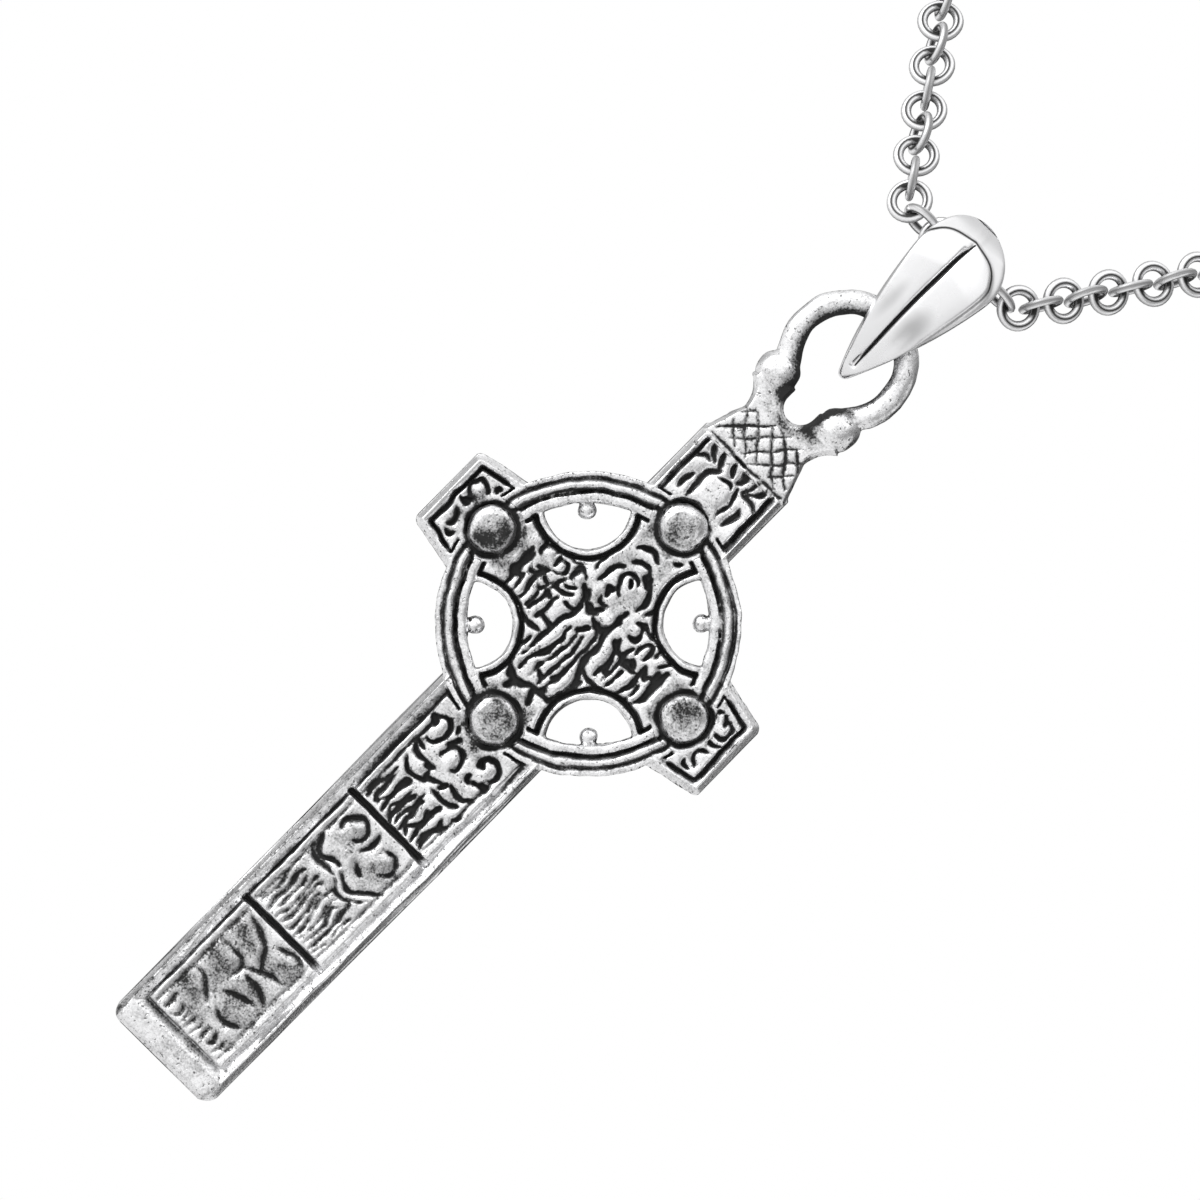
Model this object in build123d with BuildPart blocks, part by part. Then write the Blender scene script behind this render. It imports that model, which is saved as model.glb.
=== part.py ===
# Celtic cross pendant necklace: a cast silver high cross on a drop bail and a rolo chain.
# Millimetres. +Z is up and the face of the cross looks along -Y.
# The origin is at the nape, where the clasp lies on the neck and the necklace is held up.
from build123d import *
from collections import namedtuple
from math import atan, cos, degrees, hypot, radians, sin, sqrt, tan
import os

os.makedirs("parts", exist_ok=True)

# Chain: links 2.24 mm across, here their outer form as one tube from one clasp end to the other
chain_diameter = 2.24
fold_diameters = 1.03        # radius of the tight fold over each edge of the bail, in diameters
run_share = 0.45             # share of the shorter run that an arc may use up
# Half of the route from the bail to the clasp, chosen by hand. The other half mirrors it.
chain_route = [
    (3.5, -112.2, -116.4),
    (8.9, -107.5, -108.5),
    (19.7, -97.8, -91.5),
    (38.0, -82.0, -60.6),
    (56.6, -65.8, -26.6),
    (61.8, -43.5, -11.6),
    (53.5, -21.5, -3.4),
    (36.5, -6.0, -0.5),
    (17.5, 1.0, 0.0),
    (6.1, 1.2, 0.0),
]

# Clasp: a plain closed barrel at the nape
clasp_gap = 0.1
clasp_diameter = 3.0
clasp_shoulder = 0.7

# Cross, measured from the middle of its wheel and from its plain back
cross_shift = -0.4           # the bail rests a little to the right of the middle of the loop
field_depth = 1.3            # metal behind the sunk fields
border_height = 0.5          # of the raised borders above the fields
relief_height = 0.38
embed = 0.05                 # how deep a raised form is rooted in the metal under it
cut_past = 1.0               # how far a cutting form runs past the metal

shaft_length = 29.15
shaft_width = 6.6
foot_width = 6.5
foot_corner = 0.7
arm_span = 18.9
arm_root = 6.4               # distance of the arm's root from the middle
arm_root_width = 5.75
arm_tip_width = 4.5
arm_corner = 0.42
head_width = 5.42
bevel_width = 0.33           # outer slope of a border
slope_width = 0.6            # inner slope of a border
head_slope_width = 0.34
shaft_root = 0.9             # how far the shaft's border reaches inside the wheel's band
head_root = 0.5

wheel_radius = 7.25
wheel_bore = 5.78
wheel_groove = 0.16          # of the grooves between its ridges above the fields
opening_radius = 2.09
opening_offset = 4.0
opening_rim = 0.36
rim_height = 0.42
rim_draft = 10.0             # degrees
boss_orbit = 6.43
boss_radius = 1.33
moat_width = 0.24
moat_depth = 0.12
cusp_orbit = 5.4
cusp_radius = 0.45
cusp_depth = 1.1             # of the cusps' centres in front of the back

panel_foot = 27.3            # end of the lowest panel below the middle
panel_lines = (13.57, 20.67)
line_width = 0.3
line_depth = 0.18

# Cap above the upper arm, its neck, and the knuckles and wire of the loop
cap_start = 10.5
cap_neck = 12.62
cap_neck_width = 3.96
cap_flare = 0.85
cap_waist = 0.905            # half the cap's width between foot and neck as a share of its foot's
cap_waist_drop = 0.25        # of that waist below the middle of the cap
neck_bow = 0.28              # bow of the flaring stems as a share of their flare
neck_bow_rise = 0.1
keyhole_width = 1.58
keyhole_foot = 13.62
hatch_spacing = 0.8
hatch_lines = 7
hatch_width = 0.22
hatch_depth = 0.15
hatch_margin = 0.3
knuckle_radius = 1.07
knuckle_height = 14.9
knuckle_spacing = 3.96
loop_depth = 1.0             # of the loop's middle plane in front of the back
loop_rise = 2.72             # of the loop's middle above the knuckles
loop_radius = 2.79
loop_wire = 1.2
loop_turn = 35.0             # degrees below level at which the wire turns into its knuckles
stem_share = 0.8             # of the way down to the knuckles' level that the straight end covers

# Bail: a drop, hollow from side to side, with a keel down the front
bail_height = 10.14
bail_width = 5.1
bail_depth = 5.0
bail_tip_radius = 0.35
crown_turn = 8.0             # degrees below level at which the crown turns into the side
toe_turn = 20.0              # degrees below level at which the side turns into the tip
bail_belly = 0.3             # bulge of the front view's sides below the shoulder
bail_back_belly = 0.8
bail_wall = 0.8              # over the chain
bail_room = 0.15             # running room of the chain
seat_room = 0.3              # running room of the loop
seat_share = 0.24            # half the bail's width where the loop hangs, as a share of its full width
bail_keel_set = 0.4          # of the keel's top behind the drop's greatest depth
keel_foot_set = 0.07         # of the keel's foot behind the tip's front
loop_fall = 6.5              # of the loop's axis below the bail's top
shield_drop = 1.05           # of the facets' upper edge below the bail's top
shield_belly = 1.3           # bulge of the keel
keel_angle = 12.0            # degrees that each facet falls back from the keel
crease_width = 0.26
crease_depth = 0.15
crease_ends = 0.06           # plain ends of the keel as shares of its length

# Places that follow from the sizes
chain_radius = chain_diameter / 2
bail_chain_point = Vector(0, chain_route[0][1], chain_route[0][2])
bail_top = bail_chain_point.Z + chain_radius + bail_room + bail_wall
hollow_radius = chain_radius + 2 * bail_room
hollow_level = -bail_wall - hollow_radius
seat_half_width = seat_share * bail_width + abs(cross_shift)
loop_inner_radius = loop_radius - loop_wire / 2
seat_radius = loop_radius - sqrt(loop_inner_radius**2 - seat_half_width**2) + seat_room
loop_height = knuckle_height + loop_rise
wheel_level = bail_top - loop_fall - loop_height - loop_radius
back_face = bail_chain_point.Y + loop_depth
border_top = field_depth + border_height
boss_outer = boss_orbit + boss_radius + moat_width
stem_reach = (loop_rise - loop_radius * sin(radians(loop_turn))) / cos(radians(loop_turn))
stem_length = stem_share * stem_reach
hatch_upper = cap_neck_width / 2 - hatch_margin
hatch_lower = head_width / 2 - bevel_width - hatch_margin / 2

face = Plane(origin=(cross_shift, back_face, wheel_level), x_dir=(1, 0, 0), z_dir=(0, -1, 0))
wheel_section = Plane(origin=face.origin, x_dir=(1, 0, 0), z_dir=(0, 0, -1))
wheel_axis = Axis(face.origin, (0, -1, 0))
bail_front = Plane(origin=(0, bail_chain_point.Y, bail_top), x_dir=(1, 0, 0), z_dir=(0, -1, 0))
bail_side = Plane(origin=bail_front.origin, x_dir=(0, -1, 0), z_dir=(-1, 0, 0))


def draft(width, height):
    """Angle that narrows an extrusion by width over height."""
    return degrees(atan(width / height))


# Ridges of the wheel from its bore outwards: edges as shares of the band, and the crest above
# the fields as a share of the borders' height
Ridge = namedtuple("Ridge", "inner outer crest")
wheel_ridges = [
    Ridge(0.0, 0.32, 0.92),
    Ridge(0.47, 0.7, 1.36),
    Ridge(0.82, 1.0, 0.88),
]

# Layers of a boss from its foot to its crown, as shares of the boss's radius
Layer = namedtuple("Layer", "foot top height")
boss_layers = [
    Layer(1.0, 0.97, 0.45),
    Layer(0.97, 0.84, 0.26),
    Layer(0.84, 0.62, 0.165),
]

# Fields that carry relief: upper and lower end above the wheel's middle, and half the width
Field = namedtuple("Field", "upper lower half")
fields = {
    "wheel": Field(wheel_bore, -wheel_bore, wheel_bore),
    "arms": Field(arm_tip_width / 2, -arm_tip_width / 2, arm_span / 2),
    "head": Field(cap_start, boss_outer, head_width / 2),
    "upper": Field(-boss_outer, -panel_lines[0], shaft_width / 2),
    "middle": Field(-panel_lines[0], -panel_lines[1], shaft_width / 2),
    "lower": Field(-panel_lines[1], -panel_foot, foot_width / 2),
}

# Relief: worn robed figures with plain oval heads, upright and leaning strips, and a lattice.
# Places and lengths across are shares of the field's half width, and those down of its height.
# A figure stands on its hem. Its robe is as wide as the shoulder above and the skirt below.
Figure = namedtuple("Figure", "field across top hem shoulder skirt folds")
Strip = namedtuple("Strip", "field across down wide tall lean")
Row = namedtuple("Row", "field down span strips tall")

fold_gap = 0.2
head_share = 1.3             # a head's height as a share of its width
head_to_shoulder = 0.8       # a head's width as a share of the shoulder's
head_widest = 0.85
pebble_corner = 0.42         # corner radius of a rounded strip as a share of its width
figures = [
    Figure("wheel", 0.0, 0.24, 0.84, 0.22, 0.31, 3),
    Figure("upper", 0.0, 0.16, 0.93, 0.27, 0.33, 2),
]
strips = [
    # three niches on the upper arm
    Strip("head", 0.0, 0.66, 0.52, 0.58, 0.0),
]
for side in (-1, 1):
    figures += [
        Figure("wheel", side * 0.246, 0.394, 0.604, 0.104, 0.125, 1),
        Figure("wheel", side * 0.415, 0.394, 0.604, 0.107, 0.135, 1),
        Figure("wheel", side * 0.588, 0.393, 0.604, 0.107, 0.135, 1),
        Figure("arms", side * 0.87, 0.233, 0.767, 0.053, 0.059, 1),
        Figure("upper", side * 0.455, 0.0, 0.93, 0.33, 0.42, 2),
        Figure("middle", side * 0.348, 0.06, 0.67, 0.485, 0.606, 3),
    ]
    strips += [
        # a gable over the middle figure and two feet under it
        Strip("wheel", side * 0.087, 0.154, 0.066, 0.108, side * 50.0),
        Strip("wheel", side * 0.107, 0.881, 0.073, 0.054, side * -25.0),
        # beside the side arms' bosses
        Strip("wheel", side * 0.74, 0.5, 0.08, 0.164, 0.0),
        Strip("head", side * 0.554, 0.7, 0.295, 0.7, 0.0),
    ]
rows = [
    Row("head", 0.19, 1.44, 5, 0.22),
    Row("middle", 0.835, 1.333, 7, 0.225),
    Row("lower", 0.894, 1.323, 6, 0.151),
]

# Lattice of lozenges in the lowest field
lattice_top = 0.05
lattice_foot = 0.79
lattice_span = 1.323
lozenge_wide = 1.85
lozenge_tall = 2.3
lozenge_rows = 3


def up(field, down):
    """Level of a place that lies a share of the field's height below its upper end."""
    return field.upper - down * (field.upper - field.lower)


def draw_pebble(wide, tall, lean):
    """A rectangle with its corners rounded almost to an oval."""
    RectangleRounded(wide, tall, pebble_corner * min(wide, tall), rotation=lean)


def draw_figure(figure):
    """A plain oval head over a robe whose folds widen from the shoulder to the hem."""
    field = fields[figure.field]
    middle = figure.across * field.half
    shoulder = figure.shoulder * field.half
    skirt = figure.skirt * field.half
    head_wide = min(head_to_shoulder * shoulder, head_widest)
    head_tall = head_share * head_wide
    top = up(field, figure.top)
    with Locations((middle, top - head_tall / 2)):
        draw_pebble(head_wide, head_tall, 0)
    collar = top - head_tall - fold_gap
    hem = up(field, figure.hem)
    gaps = fold_gap * (figure.folds - 1)
    upper = (shoulder - gaps) / figure.folds
    lower = (skirt - gaps) / figure.folds
    for number in range(figure.folds):
        left_upper = middle - shoulder / 2 + number * (upper + fold_gap)
        left_lower = middle - skirt / 2 + number * (lower + fold_gap)
        corners = [
            (left_upper, collar),
            (left_lower, hem),
            (left_lower + lower, hem),
            (left_upper + upper, collar),
        ]
        Polygon(*corners, align=None)


def draw_strip(strip):
    """One rounded strip, upright or leaning."""
    field = fields[strip.field]
    with Locations((strip.across * field.half, up(field, strip.down))):
        draw_pebble(strip.wide * field.half, strip.tall * (field.upper - field.lower), strip.lean)


def draw_row(row):
    """A row of upright strips with equal gaps."""
    field = fields[row.field]
    wide = (row.span * field.half - fold_gap * (row.strips - 1)) / row.strips
    with Locations((0, up(field, row.down))):
        with GridLocations(wide + fold_gap, 0, row.strips, 1):
            Rectangle(wide, row.tall * (field.upper - field.lower))


def draw_quad(half_upper, upper, half_lower, lower, mode=Mode.ADD):
    """A panel's outline, wider or narrower below."""
    corners = [
        (-half_upper, upper),
        (-half_lower, lower),
        (half_lower, lower),
        (half_upper, upper),
    ]
    Polygon(*corners, align=None, mode=mode)


def draw_lozenge():
    """One lozenge of the lattice, a gap smaller than its cell."""
    slant = hypot(lozenge_wide, lozenge_tall)
    half_wide = (lozenge_wide - fold_gap * slant / lozenge_tall) / 2
    half_tall = (lozenge_tall - fold_gap * slant / lozenge_wide) / 2
    Polygon((0, half_tall), (-half_wide, 0), (0, -half_tall), (half_wide, 0), align=None)


def draw_arm(side, inset, start):
    """One arm from start outwards, inset all round but at its root."""
    fall = (arm_root_width - arm_tip_width) / 2 / (arm_span / 2 - arm_root)
    tip = arm_span / 2 - inset
    half_tip = arm_tip_width / 2 + inset * fall - inset
    half_start = half_tip + (tip - start) * fall
    corners = [
        (side * start, half_start),
        (side * tip, half_tip),
        (side * tip, -half_tip),
        (side * start, -half_start),
    ]
    Polygon(*corners, align=None)


def draw_cap():
    """The cap, its neck and the two stems that rise to the knuckles."""
    stem = knuckle_spacing / 2
    stem_foot = knuckle_height - cap_flare
    with BuildLine() as border:
        Polyline((0, cap_start), (head_width / 2, cap_start))
        ThreePointArc(
            (head_width / 2, cap_start),
            (cap_waist * head_width / 2, (cap_start + cap_neck) / 2 - cap_waist_drop),
            (cap_neck_width / 2, cap_neck),
        )
        ThreePointArc(
            (cap_neck_width / 2, cap_neck),
            (cap_neck_width / 2 + neck_bow * cap_flare, (cap_neck + stem_foot) / 2 + neck_bow_rise),
            (cap_neck_width / 2 + cap_flare, stem_foot),
        )
        Polyline(
            (cap_neck_width / 2 + cap_flare, stem_foot),
            (stem, knuckle_height),
            (keyhole_width / 2, knuckle_height),
            (keyhole_width / 2, keyhole_foot + keyhole_width / 2),
        )
        RadiusArc(
            (keyhole_width / 2, keyhole_foot + keyhole_width / 2),
            (0, keyhole_foot),
            keyhole_width / 2,
        )
        mirror(about=Plane.YZ)
    make_face(border.edges())


with BuildPart(face) as cross:
    # plate: wheel, shaft, arms and head in one outline, with the four openings
    with BuildSketch(face) as outline:
        draw_quad(head_width / 2, cap_start + bevel_width, head_width / 2, 0)
        draw_quad(shaft_width / 2, 0, foot_width / 2, -shaft_length)
        fillet(outline.vertices().group_by(Axis.Y)[0], foot_corner)
        for side in (-1, 1):
            draw_arm(side, 0, arm_root)
        fillet(outline.vertices().group_by(Axis.X)[0], arm_corner)
        fillet(outline.vertices().group_by(Axis.X)[-1], arm_corner)
        Circle(wheel_radius)
    extrude(amount=field_depth)
    with BuildSketch(face):
        with PolarLocations(opening_offset * sqrt(2), 4, start_angle=45):
            Circle(opening_radius)
        Circle(wheel_bore, mode=Mode.INTERSECT)
    extrude(amount=field_depth, mode=Mode.SUBTRACT)

    # raised borders, bevelled on the outside
    border_start = 0.5 * (wheel_bore + wheel_radius) - bevel_width
    with BuildSketch(face.offset(field_depth - embed)) as raised:
        draw_quad(shaft_width / 2, -border_start + shaft_root, foot_width / 2, -shaft_length)
        fillet(raised.vertices().group_by(Axis.Y)[0], foot_corner)
        for side in (-1, 1):
            draw_arm(side, 0, border_start)
        fillet(raised.vertices().group_by(Axis.X)[0], arm_corner)
        fillet(raised.vertices().group_by(Axis.X)[-1], arm_corner)
        draw_quad(head_width / 2, cap_start + bevel_width, head_width / 2, border_start - head_root)
    extrude(amount=border_height + embed, taper=draft(bevel_width, border_height + embed))

    # sunk fields of the shaft and the arms, sloping in from the borders
    rim_width = bevel_width + slope_width
    with BuildSketch(face.offset(field_depth)):
        draw_quad(shaft_width / 2 - rim_width, 0, foot_width / 2 - rim_width, -panel_foot)
        for side in (-1, 1):
            draw_arm(side, rim_width, 0)
    extrude(amount=2 * border_height, taper=-draft(slope_width, border_height), mode=Mode.SUBTRACT)
    with BuildSketch(face.offset(field_depth)):
        half = head_width / 2 - bevel_width - head_slope_width
        draw_quad(half, cap_start - head_slope_width, half, 0)
    extrude(amount=2 * border_height, taper=-draft(head_slope_width, border_height), mode=Mode.SUBTRACT)

    # raised rims round the openings
    with BuildSketch(face.offset(field_depth - embed)):
        with PolarLocations(opening_offset * sqrt(2), 4, start_angle=45):
            Circle(opening_radius + opening_rim)
        Circle(wheel_bore + embed, mode=Mode.INTERSECT)
        with PolarLocations(opening_offset * sqrt(2), 4, start_angle=45):
            Circle(opening_radius, mode=Mode.SUBTRACT)
    extrude(amount=rim_height + embed, taper=rim_draft)

    # the wheel's band with its three ridges
    band = wheel_radius - wheel_bore
    groove = field_depth + wheel_groove
    with BuildSketch(wheel_section):
        with BuildLine() as profile:
            Line((wheel_bore, 0), (wheel_bore, groove))
            for number, ridge in enumerate(wheel_ridges):
                start = wheel_bore + ridge.inner * band
                end = wheel_bore + ridge.outer * band
                if number > 0:
                    Line(profile.line @ 1, (start, groove))
                crest = field_depth + ridge.crest * border_height
                ThreePointArc((start, groove), ((start + end) / 2, crest), (end, groove))
            Polyline((wheel_radius, groove), (wheel_radius, 0), (wheel_bore, 0))
        make_face()
    revolve(axis=wheel_axis)

    # bosses, each in its moat
    with BuildSketch(face.offset(field_depth - moat_depth)):
        with PolarLocations(boss_orbit, 4):
            Circle(boss_radius + moat_width)
    extrude(amount=2 * border_height + moat_depth, mode=Mode.SUBTRACT)
    level = field_depth - moat_depth - embed
    for layer in boss_layers:
        with BuildSketch(face.offset(level)):
            with PolarLocations(boss_orbit, 4):
                Circle(boss_radius * layer.foot)
        narrowing = boss_radius * (layer.foot - layer.top)
        height = boss_radius * layer.height
        extrude(amount=height, taper=draft(narrowing, height))
        level = level + height

    # cusps on the inner edge of the wheel
    with Locations((0, 0, cusp_depth)):
        with PolarLocations(cusp_orbit, 4, start_angle=45):
            Sphere(cusp_radius, rotation=(0, 0, 180))

    # cap, knuckles and loop
    with BuildSketch(face):
        draw_cap()
    extrude(amount=field_depth)
    with BuildSketch(face.offset(field_depth)):
        draw_cap()
    extrude(amount=border_height, taper=draft(bevel_width / 2, border_height))
    with Locations((0, knuckle_height, loop_depth)):
        with GridLocations(knuckle_spacing, 0, 2, 1):
            Sphere(knuckle_radius, rotation=(0, 0, 90))
    with BuildLine(face.offset(loop_depth)) as loop:
        arch = CenterArc((0, loop_height), loop_radius, -loop_turn, 180 + 2 * loop_turn)
        Line(arch @ 1, arch @ 1 + (arch % 1) * stem_length)
        Line(arch @ 0 - (arch % 0) * stem_length, arch @ 0)
    loop_path = loop.wire()
    with BuildSketch(Plane(origin=loop_path @ 0, z_dir=loop_path % 0)):
        Circle(loop_wire / 2)
    sweep(path=loop_path)

    # cuts: crosshatch of the cap, the line under it and the lines between the panels
    with BuildSketch(face.offset(border_top - hatch_depth)):
        with Locations((0, (cap_start + keyhole_foot) / 2)):
            for turn in (-45, 45):
                with Locations(Location((0, 0, 0), (0, 0, turn))):
                    with GridLocations(0, hatch_spacing, 1, hatch_lines):
                        Rectangle(2 * head_width, hatch_width)
        hatch_top = keyhole_foot - hatch_margin
        draw_quad(hatch_upper, hatch_top, hatch_lower, cap_start + hatch_margin, Mode.INTERSECT)
        with Locations((0, cap_start)):
            Rectangle(2 * hatch_lower, hatch_width)
    extrude(amount=border_height, mode=Mode.SUBTRACT)
    with BuildSketch(face.offset(field_depth - line_depth)):
        for level in panel_lines:
            with Locations((0, -level)):
                Rectangle(foot_width - 2 * bevel_width - slope_width, line_width)
    extrude(amount=2 * border_height, mode=Mode.SUBTRACT)

    # relief
    with BuildSketch(face.offset(field_depth - embed)):
        for figure in figures:
            draw_figure(figure)
        for strip in strips:
            draw_strip(strip)
        for row in rows:
            draw_row(row)
    extrude(amount=relief_height + embed)
    with BuildSketch(face.offset(field_depth - embed)):
        field = fields["lower"]
        with Locations((0, up(field, (lattice_top + lattice_foot) / 2))):
            for number in (lozenge_rows, lozenge_rows + 1):
                with GridLocations(lozenge_wide, lozenge_tall, number, number):
                    draw_lozenge()
            lattice_tall = (lattice_foot - lattice_top) * (field.upper - field.lower)
            Rectangle(lattice_span * field.half, lattice_tall, mode=Mode.INTERSECT)
    extrude(amount=relief_height + embed)

with BuildPart() as bail:
    # the front view and the side view of a drop, one through the other
    with BuildSketch(bail_front):
        with BuildLine() as drop:
            shoulder = bail_width / 2
            tip = (0, bail_tip_radius - bail_height)
            crown = CenterArc((0, -shoulder), shoulder, -crown_turn, 90 + crown_turn)
            toe = CenterArc(tip, bail_tip_radius, -90, 90 - toe_turn)
            middle = (crown @ 0 + toe @ 1) / 2
            ThreePointArc(toe @ 1, middle + Vector(bail_belly, 0), crown @ 0)
            mirror(about=Plane.YZ)
        make_face()
    extrude(amount=bail_depth, both=True)
    with BuildSketch(bail_side):
        with BuildLine():
            half = bail_depth / 2
            crown = CenterArc((0, -half), half, 0, 180)
            toe = CenterArc(tip, bail_tip_radius, toe_turn - 180, 180 - 2 * toe_turn)
            for heel, cheek, way in ((toe @ 0, crown @ 1, -1), (toe @ 1, crown @ 0, 1)):
                middle = (heel + cheek) / 2
                ThreePointArc(heel, middle + Vector(way * bail_back_belly, 0), cheek)
        make_face()
    extrude(amount=bail_width, both=True, mode=Mode.INTERSECT)

    # two facets that meet in the keel
    keel_top = Vector(bail_depth / 2 - bail_keel_set, -shield_drop)
    keel_foot = Vector(bail_tip_radius - keel_foot_set, -bail_height + bail_tip_radius)
    keel_middle = (keel_top + keel_foot) / 2 + Vector(shield_belly, 0)
    for side in (-1, 1):
        with BuildSketch(bail_side.rotated((0, side * keel_angle, 0))):
            with BuildLine():
                keel = ThreePointArc(keel_top, keel_middle, keel_foot)
                Polyline(
                    keel @ 1,
                    keel @ 1 + (keel % 1) * cut_past,
                    (bail_depth, -bail_height - cut_past),
                    (bail_depth, cut_past),
                    keel @ 0 - (keel % 0) * (shield_drop + cut_past),
                    keel @ 0,
                )
            make_face()
        extrude(amount=2 * bail_width, both=True, mode=Mode.SUBTRACT)

    # the crease along the keel
    with BuildSketch(bail_side):
        with BuildLine():
            inset = Vector(crease_depth, 0)
            start = keel @ crease_ends
            end = keel @ (1 - crease_ends)
            middle = keel @ 0.5
            inner = ThreePointArc(start - inset, middle - inset, end - inset)
            outer = ThreePointArc(end + inset, middle + inset, start + inset)
            Line(inner @ 1, outer @ 0)
            Line(outer @ 1, inner @ 0)
        make_face()
    extrude(amount=crease_width / 2, both=True, mode=Mode.SUBTRACT)

    # the hollow for the chain above and the loop below
    with BuildSketch(bail_side):
        with Locations((0, hollow_level)):
            Circle(hollow_radius)
        with Locations((0, -loop_fall)):
            Circle(seat_radius)
        make_hull()
    extrude(amount=bail_width, both=True, mode=Mode.SUBTRACT)

with BuildPart() as clasp:
    # a barrel along X with tapered ends
    clasp_length = 2 * (chain_route[-1][0] - clasp_gap)
    clasp_middle = (0, chain_route[-1][1], chain_route[-1][2])
    with BuildSketch(Plane(origin=clasp_middle, x_dir=(1, 0, 0), z_dir=(0, 0, 1))):
        with BuildLine():
            Polyline(
                (-clasp_length / 2, 0),
                (-clasp_length / 2, chain_radius),
                (-clasp_length / 2 + clasp_shoulder, clasp_diameter / 2),
                (clasp_length / 2 - clasp_shoulder, clasp_diameter / 2),
                (clasp_length / 2, chain_radius),
                (clasp_length / 2, 0),
                close=True,
            )
        make_face()
    revolve(axis=Axis(clasp_middle, (1, 0, 0)))

# The chain's centre line, from the clasp down to the bail and up again
left_half = [(-x, y, z) for x, y, z in reversed(chain_route)]
route = [Vector(*point) for point in left_half + chain_route]
radii = []
tube_length = (route[1] - route[0]).length
for before, corner, after in zip(route, route[1:], route[2:]):
    turn = (corner - before).get_angle(after - corner)
    shorter = min((corner - before).length, (after - corner).length)
    radius = run_share * shorter / tan(radians(turn / 2))
    if abs(corner.X) <= chain_route[0][0]:
        radius = fold_diameters * chain_diameter
    radii.append(radius)
    tube_length += (after - corner).length
    tube_length += radius * (radians(turn) - 2 * tan(radians(turn / 2)))

with BuildPart() as chain:
    with BuildLine() as centre_line:
        FilletPolyline(*route, radius=radii)
    path = centre_line.wire()
    with BuildSketch(Plane(origin=path @ 0, z_dir=path % 0)):
        Circle(chain_radius)
    sweep(path=path)

print("chain radii", [round(radius, 1) for radius in radii])
loop_length = tube_length + 2 * chain_route[-1][0]
print("chain length", round(tube_length, 1), "loop with clasp", round(loop_length, 1))

for node, block in (("cross", cross), ("bail", bail), ("clasp", clasp), ("chain", chain)):
    block.part.label = node
    export_step(block.part, f"parts/{node}.step")
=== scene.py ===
# %% [markdown]
# # A cast silver cross on a drop bail and a rolo chain
# The necklace is four things: a cross that was carved in wax, cast in silver and blackened, a
# polished bail, a chain of small round links, and a clasp at the nape. The CAD model brings their
# true sizes. This lesson gives each of them its finish, one cell at a time.

# %% Load the frame
from math import cos, pi, radians, sin

import bpy
import numpy as np
from mathutils import Matrix, Vector, noise
from mathutils.bvhtree import BVHTree


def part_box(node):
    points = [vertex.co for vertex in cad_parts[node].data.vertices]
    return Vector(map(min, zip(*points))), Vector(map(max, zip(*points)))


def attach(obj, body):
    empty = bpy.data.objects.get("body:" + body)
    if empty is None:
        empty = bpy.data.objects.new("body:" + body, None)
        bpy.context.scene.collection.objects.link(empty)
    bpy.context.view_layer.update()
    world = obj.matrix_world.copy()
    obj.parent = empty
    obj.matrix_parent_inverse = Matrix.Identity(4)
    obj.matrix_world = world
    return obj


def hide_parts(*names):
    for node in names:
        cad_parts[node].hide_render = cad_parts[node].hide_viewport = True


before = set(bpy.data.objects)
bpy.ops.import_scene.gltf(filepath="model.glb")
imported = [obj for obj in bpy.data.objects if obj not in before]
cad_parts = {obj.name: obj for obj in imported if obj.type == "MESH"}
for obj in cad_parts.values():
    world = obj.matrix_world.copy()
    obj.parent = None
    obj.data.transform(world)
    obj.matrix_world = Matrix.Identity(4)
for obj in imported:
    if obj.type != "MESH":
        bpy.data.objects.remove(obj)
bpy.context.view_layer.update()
mm = 0.001

# %% [markdown]
# ## Where things are
# The cross hangs with its plain back to +Y and its face to -Y. All of its forms are placed from the
# middle of its wheel, so that point is worked out once, from the box of the CAD cross and the length
# of the shaft below the wheel. The fields of the face lie field_depth in front of the plain back.

# %% The middle of the wheel
shaft_length = 29.15 * mm
back_plane = -111.2 * mm
field_depth = 1.3 * mm
border_height = 0.5 * mm
cross_low, cross_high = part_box("cross")
middle = Vector(((cross_low.x + cross_high.x) / 2, back_plane, cross_low.z + shaft_length))
print("middle of the wheel", [round(value / mm, 2) for value in middle])

# %% [markdown]
# ## The camera
# A jewel is photographed with a long lens from far away, so that it looks as flat as a drawing. The
# picture is rolled, so that the cross leans to the upper right. A roll is a turn of the camera
# about its own line of sight, and the cross itself goes on hanging straight down.

# %% Camera
pixels_per_mm = 21.0
picture_pixels = 1200
lean = radians(45.4)                # of the cross's axis above the picture's lower edge
wheel_pixel = (588, 624)            # of the wheel's middle in the picture
camera_distance = 0.6

picture_right = Vector((sin(lean), 0, cos(lean)))
picture_up = Vector((-cos(lean), 0, sin(lean)))
off_right = (picture_pixels / 2 - wheel_pixel[0]) / pixels_per_mm * mm
off_up = (wheel_pixel[1] - picture_pixels / 2) / pixels_per_mm * mm
face_point = middle - Vector((0, field_depth, 0))
aim = face_point + off_right * picture_right + off_up * picture_up

camera = bpy.data.objects.new("camera", bpy.data.cameras.new("camera"))
bpy.context.scene.collection.objects.link(camera)
camera.location = aim - Vector((0, camera_distance, 0))
turn = Matrix((picture_right, picture_up, Vector((0, -1, 0)))).transposed()
camera.rotation_euler = turn.to_euler()
view_width = picture_pixels / pixels_per_mm * mm
camera.data.lens = camera.data.sensor_width * camera_distance / view_width
camera.data.clip_start = 0.01
bpy.context.scene.camera = camera
print("lens", round(camera.data.lens), "mm")

# %% [markdown]
# ## Shader maths as expressions
# A finish is a sum of masks: dark where the metal is hollow, bright where it is rubbed, speckled
# everywhere. Written as nodes, each plus and times is a box of its own. This small class wraps a
# socket, so that Python's own operators add those boxes.

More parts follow.
